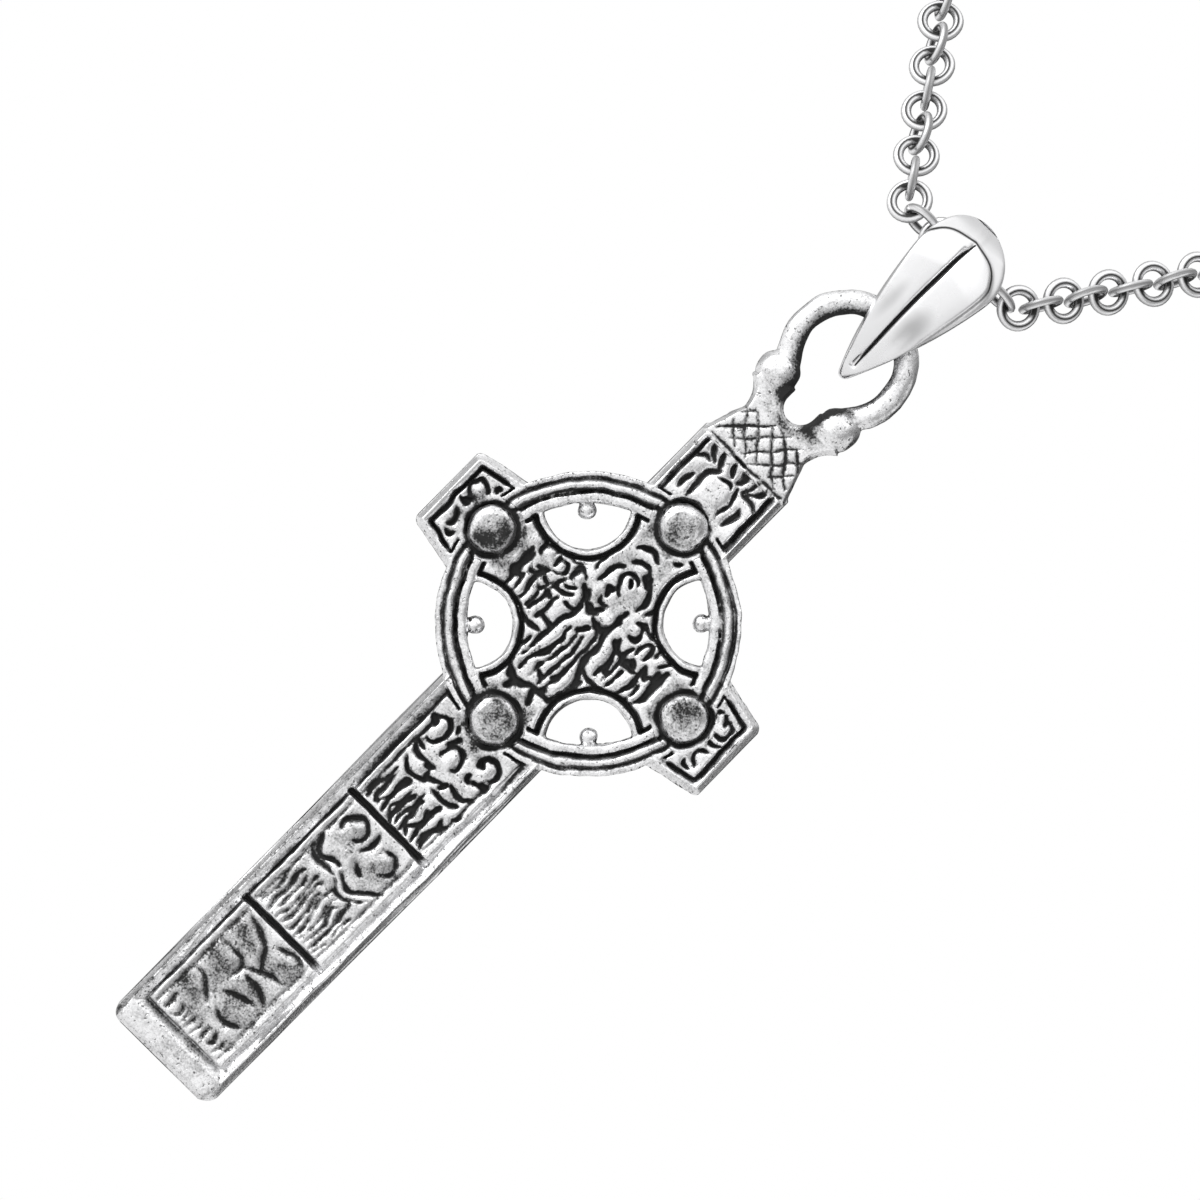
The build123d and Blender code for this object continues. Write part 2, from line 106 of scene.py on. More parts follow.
# %% A socket that can be reckoned with
class Tone:
    """A socket of a material's nodes. With no socket it is the bench that new nodes are made on."""

    def __init__(self, tree, socket=None):
        self.tree = tree
        self.socket = socket

    def node(self, kind, settings=None, inputs=None, output=0):
        """Adds a node, sets it up, gives its sockets values or links, and returns one output."""
        made = self.tree.nodes.new(kind)
        for name, value in (settings or {}).items():
            setattr(made, name, value)
        for name, value in (inputs or {}).items():
            if isinstance(value, Tone):
                self.tree.links.new(value.socket, made.inputs[name])
            else:
                made.inputs[name].default_value = value
        return Tone(self.tree, made.outputs[output])

    def into(self, entry):
        """Feeds this socket into the entry of a shader."""
        self.tree.links.new(self.socket, entry)

    def reckon(self, operation, *values):
        return self.node("ShaderNodeMath", {"operation": operation}, dict(enumerate(values)))

    def __add__(self, other):
        return self.reckon("ADD", self, other)

    def __sub__(self, other):
        return self.reckon("SUBTRACT", self, other)

    def __rsub__(self, other):
        return self.reckon("SUBTRACT", other, self)

    def __mul__(self, other):
        return self.reckon("MULTIPLY", self, other)

    __radd__ = __add__
    __rmul__ = __mul__

    def between(self, low, high):
        """0 below low, 1 above high, and a soft step from one to the other."""
        settings = {"interpolation_type": "SMOOTHSTEP"}
        return self.node("ShaderNodeMapRange", settings, {"Value": self, "From Min": low, "From Max": high})


def new_material(name):
    """A material with a bench for its nodes and its shader's sockets."""
    material = bpy.data.materials.new(name)
    material.use_nodes = True
    tree = material.node_tree
    shader = tree.nodes["Principled BSDF"]
    return material, Tone(tree), shader.inputs


# %% [markdown]
# ## Noise that sits on the metal
# All the speckle is read at Object coordinates, in millimetres, so it sits in the metal and a size
# in the code is a real size.

# %% Speckle and mixing
def millimetres(bench):
    """Object coordinates, one unit to the millimetre."""
    place = bench.node("ShaderNodeTexCoord", output="Object")
    settings = {"operation": "SCALE"}
    return bench.node("ShaderNodeVectorMath", settings, {0: place, "Scale": 1 / mm})


def speckle(bench, place, grain, detail, roughness=0.55):
    """Noise from 0 to 1 whose grains are that many millimetres apart."""
    inputs = {"Vector": place, "Scale": 1 / grain, "Detail": detail, "Roughness": roughness}
    return bench.node("ShaderNodeTexNoise", {}, inputs)


def blend_colour(bench, share, first, second):
    """The first colour where share is 0, the second where it is 1."""
    inputs = {0: share, 6: first, 7: second}
    return bench.node("ShaderNodeMix", {"data_type": "RGBA"}, inputs, output=2)


def grey(value):
    """A grey with the faintest blue, as silver has."""
    return (value, value, value * 1.01, 1.0)


# %% [markdown]
# ## Cast silver, blackened and rubbed bright
# The caster dips the cross in liver of sulphur, which blackens it all over, and then rubs it with a
# mop that reaches only the high places. So one mask, how deep a point lies under its surroundings,
# rules colour, gloss and how metallic the surface is. The mask is a vertex attribute that is made
# with the shape, further down. Painted light and shade are added into the same mask: bands on the
# shaft's borders, shade in creases and soft hollows, reflections on the bail and dark rims on the links.

# %% Material: antiqued silver
def antiqued_silver():
    material, bench, shader = new_material("antiqued_silver")
    place = millimetres(bench)
    patina_and_painted_light = bench.node("ShaderNodeAttribute", {"attribute_name": "patina_and_painted_light"}, output="Fac")
    fine = speckle(bench, place, 0.11, 4.0, 0.7)
    broad = speckle(bench, place, 0.8, 2.0)
    pits = speckle(bench, place, 0.17, 1.0, 0.5)
    rough = patina_and_painted_light.between(-0.7, -0.1) * 0.65 + 0.35
    # depth is the mask with speckle, so it carries the painted light and shade along with the patina
    depth = patina_and_painted_light + ((fine - 0.5) * 1.5 + (broad - 0.5) * 0.8) * rough
    black = depth.between(0.38, 0.7)
    film = depth.between(-0.2, 0.6)
    pitted = pits.between(0.64, 0.72) * depth.between(-0.3, 0.1)
    patina_and_shade = blend_colour(bench, film, grey(0.97), grey(0.3))
    spotted = blend_colour(bench, pitted * 0.8, patina_and_shade, grey(0.05))
    colour = blend_colour(bench, black, spotted, grey(0.012))
    colour.into(shader["Base Color"])
    (0.2 + film * 0.25 + black * 0.3).into(shader["Roughness"])
    (1.0 - black * 0.85).into(shader["Metallic"])
    relief = fine * 0.6 + broad * 0.4 - pitted * 0.9
    bump = bench.node("ShaderNodeBump", {}, {"Strength": 0.7, "Distance": 0.03 * mm, "Height": relief})
    bump.into(shader["Normal"])
    return material


# %% [markdown]
# ## Polished silver
# The bail and the chain are polished to a mirror. A mirror that is really perfect looks like
# plastic, so the polish keeps a faint haze and the finest scratches.

# %% Material: polished silver
def polished_silver():
    material, bench, shader = new_material("polished_silver")
    place = millimetres(bench)
    patina_and_painted_light = bench.node("ShaderNodeAttribute", {"attribute_name": "patina_and_painted_light"}, output="Fac")
    haze = speckle(bench, place, 1.1, 2.0)
    stretched = bench.node("ShaderNodeMapping", {}, {"Vector": place, "Scale": (9.0, 9.0, 0.8)})
    scratches = speckle(bench, stretched, 0.5, 2.0)
    # the mask's dark marks are tarnish, and on the bail and the links also painted reflections and shade
    black = patina_and_painted_light.between(0.25, 0.6)
    colour = blend_colour(bench, black, grey(0.93), grey(0.01))
    colour.into(shader["Base Color"])
    (0.2 + haze * 0.16 + black * 0.3).into(shader["Roughness"])
    (1.0 - black * 0.8).into(shader["Metallic"])
    inputs = {"Strength": 0.06, "Distance": 0.01 * mm, "Height": scratches}
    bump = bench.node("ShaderNodeBump", {}, inputs)
    bump.into(shader["Normal"])
    return material


antiqued = antiqued_silver()
polished = polished_silver()
print("materials", antiqued.name, polished.name)

# %% [markdown]
# ## Picking pieces up and putting them down
# An operator acts on whatever is selected, and loading the frame leaves all its nodes selected. So
# every step starts by letting go of everything and picking up one piece.

# %% Helpers for operators
def pick(*pieces):
    """Selects these pieces alone, and makes the first one active."""
    bpy.ops.object.select_all(action="DESELECT")
    for piece in pieces:
        piece.select_set(True)
    bpy.context.view_layer.objects.active = pieces[0]


def cast_copy(node, name):
    """A loose copy of a CAD node's mesh, with its doubled corners merged."""
    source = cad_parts[node]
    piece = bpy.data.objects.new(name, source.data.copy())
    bpy.context.scene.collection.objects.link(piece)
    piece.data.materials.clear()
    pick(piece)
    bpy.ops.object.mode_set(mode="EDIT")
    bpy.ops.mesh.select_all(action="SELECT")
    bpy.ops.mesh.remove_doubles(threshold=0.0005 * mm)
    bpy.ops.mesh.normals_make_consistent(inside=False)
    bpy.ops.object.mode_set(mode="OBJECT")
    return piece


def use_modifier(piece, kind, **settings):
    """Adds a modifier, sets it and applies it."""
    modifier = piece.modifiers.new(kind.lower(), kind)
    for name, value in settings.items():
        setattr(modifier, name, value)
    pick(piece)
    bpy.ops.object.modifier_apply(modifier=modifier.name)


def corners(piece):
    """The piece's vertices as an array."""
    places = np.zeros(len(piece.data.vertices) * 3)
    piece.data.vertices.foreach_get("co", places)
    return places.reshape(-1, 3)


def set_corners(piece, places):
    piece.data.vertices.foreach_set("co", places.ravel())
    piece.data.update()


def triangles(piece):
    return sum(len(face.vertices) - 2 for face in piece.data.polygons)


# %% [markdown]
# ## A plan of the carving
# The relief of such a cross is one skin of soft forms with narrow gaps between them, and the gaps
# hold the black. So the gaps are drawn, as a carver scratches them into wax: outlines of robed
# figures, their folds and sleeves, and curls in the ground between them. Places on the face are
# (across, up) in millimetres from the middle of the wheel. The plan is a map of the face in fine
# cells, and a line adds itself to the cells near it.

# %% Plan and pencil
plan_cell = 0.03
plan_low = (-10.5, -30.0)
plan_shape = (700, 1770)
plan_across = (plan_low[0] + plan_cell * np.arange(plan_shape[0]))[:, None]
plan_up = (plan_low[1] + plan_cell * np.arange(plan_shape[1]))[None, :]
from_middle = np.hypot(plan_across, plan_up)
chance = np.random.default_rng(11)
taken = []


def smooth_line(points):
    """Points on a smooth curve through the given ones."""
    steps = 5
    if len(points) < 3:
        return points
    first = (2 * points[0][0] - points[1][0], 2 * points[0][1] - points[1][1])
    last = (2 * points[-1][0] - points[-2][0], 2 * points[-1][1] - points[-2][1])
    padded = np.array([first] + list(points) + [last])
    line = []
    for before, start, end, after in zip(padded, padded[1:], padded[2:], padded[3:]):
        for t in np.arange(steps) / steps:
            bend = 2 * before - 5 * start + 4 * end - after
            twist = 3 * start - before - 3 * end + after
            line.append(tuple(start + 0.5 * (t * (end - before) + t * t * bend + t ** 3 * twist)))
    return line + [points[-1]]


def stroke(plan, points, width, strength=1.0):
    """Adds a line to a plan: its strength in the middle, and nothing a width away."""
    for (x, z), (x_end, z_end) in zip(points, points[1:]):
        reach = 2 * width
        low = [min(x, x_end) - reach - plan_low[0], min(z, z_end) - reach - plan_low[1]]
        high = [max(x, x_end) + reach - plan_low[0], max(z, z_end) + reach - plan_low[1]]
        columns = slice(max(0, int(low[0] / plan_cell)), int(high[0] / plan_cell) + 1)
        rows = slice(max(0, int(low[1] / plan_cell)), int(high[1] / plan_cell) + 1)
        across = plan_across[columns] - x
        up = plan_up[:, rows] - z
        length = max(1e-6, (x_end - x) ** 2 + (z_end - z) ** 2)
        onward = np.clip((across * (x_end - x) + up * (z_end - z)) / length, 0, 1)
        off = np.hypot(across - onward * (x_end - x), up - onward * (z_end - z))
        share = strength * np.exp(-(off / (0.6 * width)) ** 2)
        plan[columns, rows] = np.maximum(plan[columns, rows], share)


def tapered(plan, line, width, strength=1.0):
    """Adds a line that is widest in its middle."""
    count = len(line) - 1
    for number, ends in enumerate(zip(line, line[1:])):
        fullness = 0.55 + 0.45 * sin(pi * (number + 0.5) / count)
        stroke(plan, ends, width * fullness, strength * (0.6 + 0.4 * fullness))


def ring(plan, centre, radius, width, allowed, strength=1.0):
    """Adds a circle to a plan, where it is allowed."""
    off = np.abs(np.hypot(plan_across - centre[0], plan_up - centre[1]) - radius)
    np.maximum(plan, strength * allowed * np.exp(-(off / (0.6 * width)) ** 2), out=plan)


def soft_step(values, low, high):
    """0 below low, 1 above high, and a soft step between."""
    share = np.clip((values - low) / (high - low), 0, 1)
    return share * share * (3 - 2 * share)


def blurred(values, cells):
    """A map of numbers, blurred by a bell curve that is that many cells wide."""
    across, along = values.shape
    wave_across = np.fft.fftfreq(across)[:, None]
    wave_along = np.fft.rfftfreq(along)[None, :]
    bell = np.exp(-2 * (pi * cells) ** 2 * (wave_across ** 2 + wave_along ** 2))
    return np.fft.irfft2(np.fft.rfft2(values) * bell, s=values.shape)


def read_plan(plan, across, up):
    """The plan's value at each place, between its cells too."""
    column = (across - plan_low[0]) / plan_cell
    row = (up - plan_low[1]) / plan_cell
    left = np.clip(column.astype(int), 0, plan_shape[0] - 2)
    low = np.clip(row.astype(int), 0, plan_shape[1] - 2)
    right_share = column - left
    upper_share = row - low
    lower_value = plan[left, low] * (1 - right_share) + plan[left + 1, low] * right_share
    upper_value = plan[left, low + 1] * (1 - right_share) + plan[left + 1, low + 1] * right_share
    return lower_value * (1 - upper_share) + upper_value * upper_share


def hills(width):
    """A map of random hills and hollows of that width, most of them within one of nought."""
    values = blurred(chance.normal(size=plan_shape), width / plan_cell)
    return values / values.std()


gaps = np.zeros(plan_shape)
swell = np.zeros(plan_shape)
hollow_shade_and_patina = np.zeros(plan_shape)


def waver(points, sway):
    """The same points, each a little aside, as a hand draws them."""
    return [(across + chance.normal(0, sway), up + chance.normal(0, sway)) for across, up in points]


def gap(points, width=0.19, sway=0.05):
    """Draws a gap between two forms, and remembers where it runs."""
    line = smooth_line(waver(points, sway))
    tapered(gaps, line, width * chance.uniform(0.8, 1.25), chance.uniform(0.75, 1.0))
    taken.extend(line)


def oval(across, up, wide, tall, width=0.18):
    """Draws the gap round a head, open at the neck, and swells the head."""
    start = chance.choice((-6, -4, -2))
    turns = [number * pi / 6 for number in range(start, start + 10)]
    line = [(across + wide * sin(turn), up + tall * cos(turn)) for turn in turns]
    gap(line, width, 0.03)
    stroke(swell, [(across, up - 0.3 * tall), (across, up + 0.2 * tall)], 1.1 * wide)


# %% [markdown]
# ## Figures of the wheel
# A figure is a plain oval head over a robe that widens to its hem, with sleeves that meet in front.
# A tall one stands in the middle of the wheel and three smaller ones on either side, which are the
# same lines mirrored. No two come out alike, because every line is drawn with a hand's sway.

# %% Draw the wheel's figures
def robe(across, collar, hem, shoulder, skirt, folds):
    """Draws the sides of a robe and the folds between them."""
    for number in range(folds + 1):
        share = number / folds - 0.5
        upper = across + share * shoulder
        lower = across + share * skirt
        outer = number in (0, folds)
        start = collar if outer else collar - chance.uniform(0.2, 0.5) * (collar - hem)
        halfway = (start + hem) / 2
        bow = chance.normal(0, 0.08)
        line = [(upper, start), (upper + bow, (start + halfway) / 2), ((upper + lower) / 2, halfway)]
        line += [(lower - bow, (halfway + hem) / 2), (lower, hem)]
        gap(line, 0.2 if outer else 0.15, 0.04)


# the tall figure in the middle of the wheel, under a gable
oval(0.05, 2.55, 0.48, 0.62)
robe(0.0, 1.6, -3.85, 1.9, 2.6, 5)
gap([(-0.95, 1.1), (-0.5, 0.3), (0.1, 0.7)])
gap([(0.95, 1.0), (0.55, 0.15), (-0.1, 0.25)])
gap([(-0.6, 1.5), (-0.2, 1.05), (0.35, 1.35)], 0.15)
gap([(-1.35, -3.95), (-0.5, -4.15), (0.3, -3.95)])
gap([(0.4, -4.1), (1.3, -3.95)])
gap([(-0.5, -4.2), (-0.75, -4.75)])
gap([(0.45, -4.2), (0.7, -4.8)])
gap([(-1.15, 1.7), (-1.15, 2.6), (-0.8, 3.3)])
gap([(-0.55, 3.6), (0.0, 4.0), (0.5, 3.7)])
gap([(0.85, 3.4), (1.2, 2.7), (1.2, 1.9)])
gap([(-0.75, 4.2), (-0.2, 4.65), (0.4, 4.35)])
stroke(swell, smooth_line([(-0.9, 1.3), (-0.45, 0.65), (0.0, 0.85), (0.5, 0.5), (0.95, 1.2)]), 0.4)

# three smaller ones on either side
for side in (-1, 1):
    for across, level, lean in ((1.9, 1.3, 0.1), (2.85, 1.0, -0.1), (3.75, 1.25, 0.05)):
        oval(side * across, level, 0.33, 0.42, 0.17)
        hem = side * (across + 0.45 + lean)
        gap([(side * (across + 0.38), level - 0.45), (side * (across + 0.5), level - 1.5), (hem, -1.6)], 0.17)
        gap([(side * (across - 0.05), level - 1.5), (side * (across + lean), -1.5)], 0.13)
        elbow = [(side * (across - 0.4), level - 0.8), (side * across, level - 1.25)]
        gap(elbow + [(side * (across + 0.35), level - 1.1)], 0.16, 0.08)
    # hems, and lines that trail towards the corners
    for line, width, sway in (
        ([(1.45, -1.75), (2.3, -1.95), (3.0, -1.75)], 0.18, 0.08),
        ([(3.2, -1.9), (4.2, -1.65)], 0.18, 0.08),
        ([(1.7, -2.1), (1.6, -2.6), (1.75, -3.1)], 0.17, 0.05),
        ([(1.6, 2.0), (1.75, 2.6), (1.5, 3.2)], 0.18, 0.05),
        ([(2.1, 1.95), (2.5, 1.75), (3.1, 1.8)], 0.18, 0.05),
        ([(4.4, 1.0), (4.45, 0.1), (4.35, -0.9)], 0.18, 0.05),
    ):
        gap([(side * across, up) for across, up in line], width, sway)
print("places on the wheel's gaps", len(taken))

# %% [markdown]
# ## The upper arm and the side arms
# The upper arm holds three niches under a row of wedges, and each side arm a head and a few curls.
# A map darkens a few soft spots, with patina where the mop didn't reach and painted shade of hollows
# that the shape doesn't have.

# %% Draw the arms
for line in (
    [(-0.9, 7.7), (-0.95, 8.5), (-0.9, 9.2), (-0.6, 9.65)],
    [(0.74, 7.7), (0.8, 8.5), (0.76, 9.2), (0.5, 9.6)],
    [(-2.0, 9.4), (-1.7, 9.8), (-1.3, 9.75)],
    [(1.3, 7.8), (1.35, 8.4), (1.3, 8.9)],
    [(-1.5, 7.7), (-1.55, 8.2), (-1.45, 8.7)],
    [(-0.35, 9.3), (0.1, 9.4), (0.4, 9.15)],
    [(1.05, 9.55), (1.5, 9.6), (1.9, 9.3)],
    [(-1.75, 10.5), (-1.45, 10.1), (-1.05, 9.75)],
    [(-1.0, 10.5), (-0.9, 10.1), (-0.7, 9.7)],
    [(-0.3, 10.5), (-0.25, 10.1), (-0.05, 9.75)],
    [(0.5, 10.5), (0.5, 10.1), (0.25, 9.75)],
    [(1.0, 10.5), (1.05, 10.05), (0.85, 9.6)],
    [(1.6, 10.5), (1.5, 10.15), (1.2, 9.8)],
):
    gap(line, 0.2, 0.02)
stroke(swell, [(0.0, 9.2), (0.0, 8.3)], 1.1, 0.5)
stroke(hollow_shade_and_patina, [(0.0, 9.0), (-0.1, 8.2)], 0.5, 0.3)
stroke(hollow_shade_and_patina, [(-8.3, -1.2), (-8.1, 0.9)], 0.9, 0.4)
for side in (-1, 1):
    oval(side * 8.2, 0.95, 0.42, 0.42, 0.15)
    for line in (
        [(8.6, 0.3), (8.1, 0.1), (7.7, 0.4)],
        [(8.5, -0.3), (8.15, -0.75), (8.35, -1.35)],
        [(7.7, -1.2), (7.8, -1.6), (8.2, -1.5)],
    ):
        gap([(side * across, up) for across, up in line], 0.15)
print("with those of the arms", len(taken))

# %% [markdown]
# ## The shaft's panels
# The upper panel holds three figures whose robes run into each other, the middle one two figures
# with joined sleeves over long hems, and the lowest one crossing leaves over a hem, each leaf with a
# soft hollow that is only painted shade with patina. Long hems are rows of folds, so they come from loops.

# %% Draw the shaft's panels
# a dark middle in each head: painted shade of a hollow, with patina
for across, level in ((-1.65, -8.5), (-0.12, -9.15), (1.5, -8.4)):
    oval(across, level, 0.56, 0.56, 0.14)
    stroke(hollow_shade_and_patina, [(across, level - 0.1), (across, level + 0.1)], 0.7, 0.4)
gap([(-2.0, -9.7), (-1.5, -10.1), (-0.8, -9.9)])
gap([(-0.6, -10.1), (-0.2, -10.55), (0.4, -10.3)])
gap([(2.0, -9.9), (1.5, -10.3), (0.8, -10.0)])
gap([(-1.9, -10.35), (-1.2, -10.9), (-0.4, -10.8)], 0.15)
gap([(0.2, -10.9), (1.0, -11.0), (1.7, -10.6)], 0.15)
for number in range(12):
    across = -1.85 + number * 0.335
    start = -11.15 - 0.25 * (number % 3)
    bow = 0.14 * (-1) ** number
    line = [(across, start), (across + bow, start - 0.7), (across - 0.1, start - 1.3)]
    gap(line + [(across + 0.08, -13.25)], 0.12 + 0.05 * (number % 2), 0.05)
stroke(hollow_shade_and_patina, [(1.3, -10.5), (1.4, -11.6)], 0.6, 0.5)

for across, level in ((-1.05, -14.75), (1.1, -15.0)):
    oval(across, level, 0.62, 0.62, 0.13)
    stroke(hollow_shade_and_patina, [(across - 0.1, level + 0.1), (across + 0.25, level - 0.2)], 0.8, 0.6)
for drop in (0.0, 0.48):
    gap([(-1.95, -15.8 - drop), (-1.3, -16.55 - drop), (-0.3, -16.5 - drop)], 0.16, 0.03)
    gap([(-0.1, -16.6 - drop), (0.9, -16.95 - drop), (1.95, -16.2 - drop)], 0.16, 0.03)
stroke(swell, smooth_line([(-2.0, -15.95), (-1.3, -16.8), (-0.2, -16.8), (0.9, -17.2), (2.0, -16.5)]), 0.42)
stroke(hollow_shade_and_patina, [(-1.3, -18.0), (-1.2, -18.2)], 0.7, 0.6)
gap([(0.0, -14.0), (0.1, -14.7), (-0.05, -15.4)], 0.15)
gap([(-0.2, -15.7), (0.3, -16.0), (0.9, -16.1)], 0.14)
for number in range(11):
    across = -1.8 + number * 0.36
    start = -17.45 - 0.3 * (number % 3)
    line = [(across, start), (across - 0.1, -18.4), (across + 0.08, -19.3), (across, -20.35)]
    gap(line, 0.11 + 0.05 * (number % 2), 0.05)

for line in (
    [(-1.9, -21.2), (-0.9, -21.4), (0.0, -21.9), (0.5, -22.6)],
    [(1.9, -21.2), (1.3, -21.0), (0.6, -21.3)],
    [(1.9, -22.3), (1.2, -22.5), (0.5, -22.6), (-0.4, -23.2)],
    [(-1.9, -22.9), (-1.1, -22.8), (-0.4, -23.2), (-0.1, -23.9)],
    [(0.3, -23.3), (1.1, -23.3), (1.9, -23.9)],
    [(1.9, -24.3), (1.0, -24.1), (0.2, -24.5), (-0.5, -25.2)],
    [(-1.9, -24.8), (-1.2, -24.7), (-0.5, -25.2), (-0.3, -25.9)],
    [(0.1, -25.4), (1.0, -25.6), (1.9, -25.4)],
):
    gap(line, 0.15, 0.05)
# the soft hollows are not sunk into the shape: they are painted shade with patina
for hollow in (
    [(-1.6, -21.75), (-0.7, -22.2)],
    [(1.5, -21.6), (0.6, -22.1)],
    [(-1.7, -23.6), (-0.9, -23.9)],
    [(0.4, -23.8), (1.2, -23.7)],
    [(1.5, -24.8), (0.7, -25.0)],
    [(-1.7, -25.5), (-1.0, -25.7)],
):
    stroke(hollow_shade_and_patina, hollow, 0.9, 0.6)
for number in range(8):
    across = -1.6 + number * 0.46
    gap([(across, -26.2), (across + 0.06, -26.6), (across, -27.05)], 0.13)
print("with those of the shaft", len(taken))

# %% [markdown]
# ## Curls in the ground
# The carver leaves no bare ground: where the figures leave some, short curls fill it. Each one is
# tried at a random place and stays if it keeps its distance from the lines that are there already.
# Every field of the face has a room, which tells how far a place is from the field's edges.

# %% Curls
openings = [(4.0, 4.0), (-4.0, 4.0), (4.0, -4.0), (-4.0, -4.0)]
opening_radius = 2.5
bosses = [(0.0, 6.43), (0.0, -6.43), (6.43, 0.0), (-6.43, 0.0)]
from_bosses = [np.hypot(plan_across - x, plan_up - z) for x, z in bosses]
in_wheel = 5.8
wheel_field = 5.72


def wheel_room(across, up):
    """How far a place is from the edges of the wheel's field."""
    room = wheel_field - np.hypot(across, up)
    for x, z in openings:
        room = np.minimum(room, np.hypot(across - x, up - z) - opening_radius)
    for x, z in bosses:
        room = np.minimum(room, np.hypot(across - x, up - z) - 1.5)
    return room


def panel_room(left, right, foot, top):
    """The same for an upright panel."""
    def room(across, up):
        return np.minimum(np.minimum(right - across, across - left), np.minimum(top - up, up - foot))
    return room


def arm_room(side):
    """The same for the panel of a side arm, which narrows towards its tip."""
    def room(across, up):
        outward = side * across
        half = 2.25 + 0.205 * (9.45 - outward) - 0.6
        return np.minimum(np.minimum(8.85 - outward, outward - 7.0), half - np.abs(up))
    return room


# each field's room, the box that curls and nicks are tried in, and how many of each are tried
fields = [
    (wheel_room, (-5.5, 5.5, -5.5, 5.5), 900, 70),
    (panel_room(-2.1, 2.02, 7.0, 10.6), (-2.0, 2.0, 7.9, 10.4), 0, 0),
    (panel_room(-2.48, 2.5, -13.48, -7.0), (-2.1, 2.1, -13.3, -8.0), 900, 10),
    (panel_room(-2.48, 2.5, -20.58, -13.66), (-2.1, 2.1, -20.4, -13.8), 0, 0),
    (panel_room(-2.48, 2.5, -27.4, -20.76), (-2.1, 2.1, -26.0, -20.9), 0, 0),
    (arm_room(-1), (-8.6, -7.4, -1.9, 1.9), 900, 1),
    (arm_room(1), (7.4, 8.6, -1.9, 1.9), 900, 1),
]


def curls(room, box, tries, lengths, distance):
    """Tries curls at random places of a field and keeps those that have room."""
    kept = 0
    for _ in range(tries):
        across = chance.uniform(box[0], box[1])
        up = chance.uniform(box[2], box[3])
        length = chance.uniform(*lengths)
        angle = chance.normal(0, 0.6)
        bend = chance.choice((-1, 1)) * chance.uniform(0.6, 2.0)
        points = [(across, up)]
        for step in range(3):
            turned = angle + bend * (step - 1) / 2
            last = points[-1]
            points.append((last[0] + length / 3 * sin(turned), last[1] + length / 3 * cos(turned)))
        spots = np.array(points)
        lines = np.array(taken)
        if room(spots[:, 0], spots[:, 1]).min() < 0.25:
            continue
        if np.hypot(spots[:, None, 0] - lines[:, 0], spots[:, None, 1] - lines[:, 1]).min() < distance:
            continue
        gap(points, 0.17, 0.0)
        kept += 1
    return kept


for room, box, tries, nicks in fields:
    kept = curls(room, box, tries, (0.9, 1.6), 0.5)
    kept += curls(room, box, tries, (0.4, 0.9), 0.4)
    print("curls", kept, "of", 2 * tries)

# %% [markdown]
# ## Nicks and wear
# Short nicks break up the long folds. Then the whole plan is drawn a little askew, corners between
# gaps fill in and some gaps wear thin, most of all in the wheel, which is what casting and rubbing
# do to a carving.

# %% Nicks and wear
for room, box, tries, nicks in fields:
    for _ in range(nicks):
        across = chance.uniform(box[0], box[1])
        up = chance.uniform(box[2], box[3])
        angle = chance.uniform(0, pi)
        half = chance.uniform(0.12, 0.32)
        if room(across, up) > 0.3:
            aside = half * sin(angle)
            onward = half * cos(angle)
            ends = [(across - aside, up - onward), (across + aside, up + onward)]
            stroke(gaps, ends, chance.uniform(0.11, 0.17))
askew_across = 0.07 * hills(0.35) + 0.02 * hills(0.1)
askew_up = 0.07 * hills(0.35) + 0.02 * hills(0.1)
gaps = read_plan(gaps, plan_across + askew_across, plan_up + askew_up)
filled = blurred(gaps, 0.03 / plan_cell) + 0.15 * blurred(gaps, 0.12 / plan_cell)
thinner = 0.09 * (from_middle < in_wheel)
gaps = soft_step(filled - thinner + 0.05 * hills(0.1) + 0.05 * hills(0.5), 0.32, 0.66)
print("share of gaps", round(float(gaps.mean()), 3))

# %% [markdown]
# ## The graver's lines
# Some lines are cut and not cast: the crosshatch of the cap, the grooves of the wheel's band, the
# moats of the bosses and the lines between the panels.

# %% Lines that are cut
cuts = np.zeros(plan_shape)
hatch = np.zeros(plan_shape)
for number in range(6):
    for lean in (-1, 1):
        offset = -2.1 + 0.86 * number + chance.normal(0, 0.04)
        low_end = chance.uniform(10.7, 11.1)
        high_end = chance.uniform(12.7, 13.3)
        levels = np.linspace(low_end, high_end, 9)
        line = [(offset + lean * (level - 12.0), level) for level in levels]
        line = [(x, level) for x, level in line if abs(x) < 2.3 - 0.14 * (level - 10.6)]
        if len(line) > 2:
            tapered(hatch, waver(line, 0.012), 0.15, chance.uniform(0.8, 1.1))
for line in (
    [(-2.3, 10.62), (-1.0, 10.66), (-0.7, 10.64)],
    [(-0.5, 10.66), (0.9, 10.64)],
    [(1.1, 10.62), (2.3, 10.6)],
):
    tapered(hatch, smooth_line(waver(line, 0.02)), 0.14)
clear = np.ones(plan_shape)
boss_radius = 1.3
for boss, off in zip(bosses, from_bosses):
    clear *= soft_step(off, 1.25, 1.35)
    ring(cuts, boss, boss_radius, 0.15, 0.75 + 0.3 * hills(0.3))
for groove_radius in (6.41, 6.91):
    ring(cuts, (0, 0), groove_radius, 0.15, clear * (0.95 + 0.06 * hills(0.4)))
inside = soft_step(in_wheel - from_middle, 0, 0.05)
for opening in openings:
    ring(cuts, opening, 2.52, 0.18, inside * clear)
stroke(cuts, [(-2.16, 10.4), (-2.15, 7.6)], 0.12, 0.6)
stroke(cuts, [(2.07, 10.45), (2.07, 7.6)], 0.15)
for side in (-1, 1):
    corner = [(side * 7.4, 2.02), (side * 8.8, 1.74), (side * 8.8, -1.74), (side * 7.4, -2.02)]
    stroke(cuts, corner, 0.15)
    for top, foot in ((-8.2, -13.4), (-13.8, -20.5), (-20.9, -27.1)):
        line = waver([(side * 2.02, top), (side * 2.02, (top + foot) / 2), (side * 2.0, foot)], 0.02)
        stroke(gaps, smooth_line(line), 0.11, 0.6 if side < 0 else 0.45)
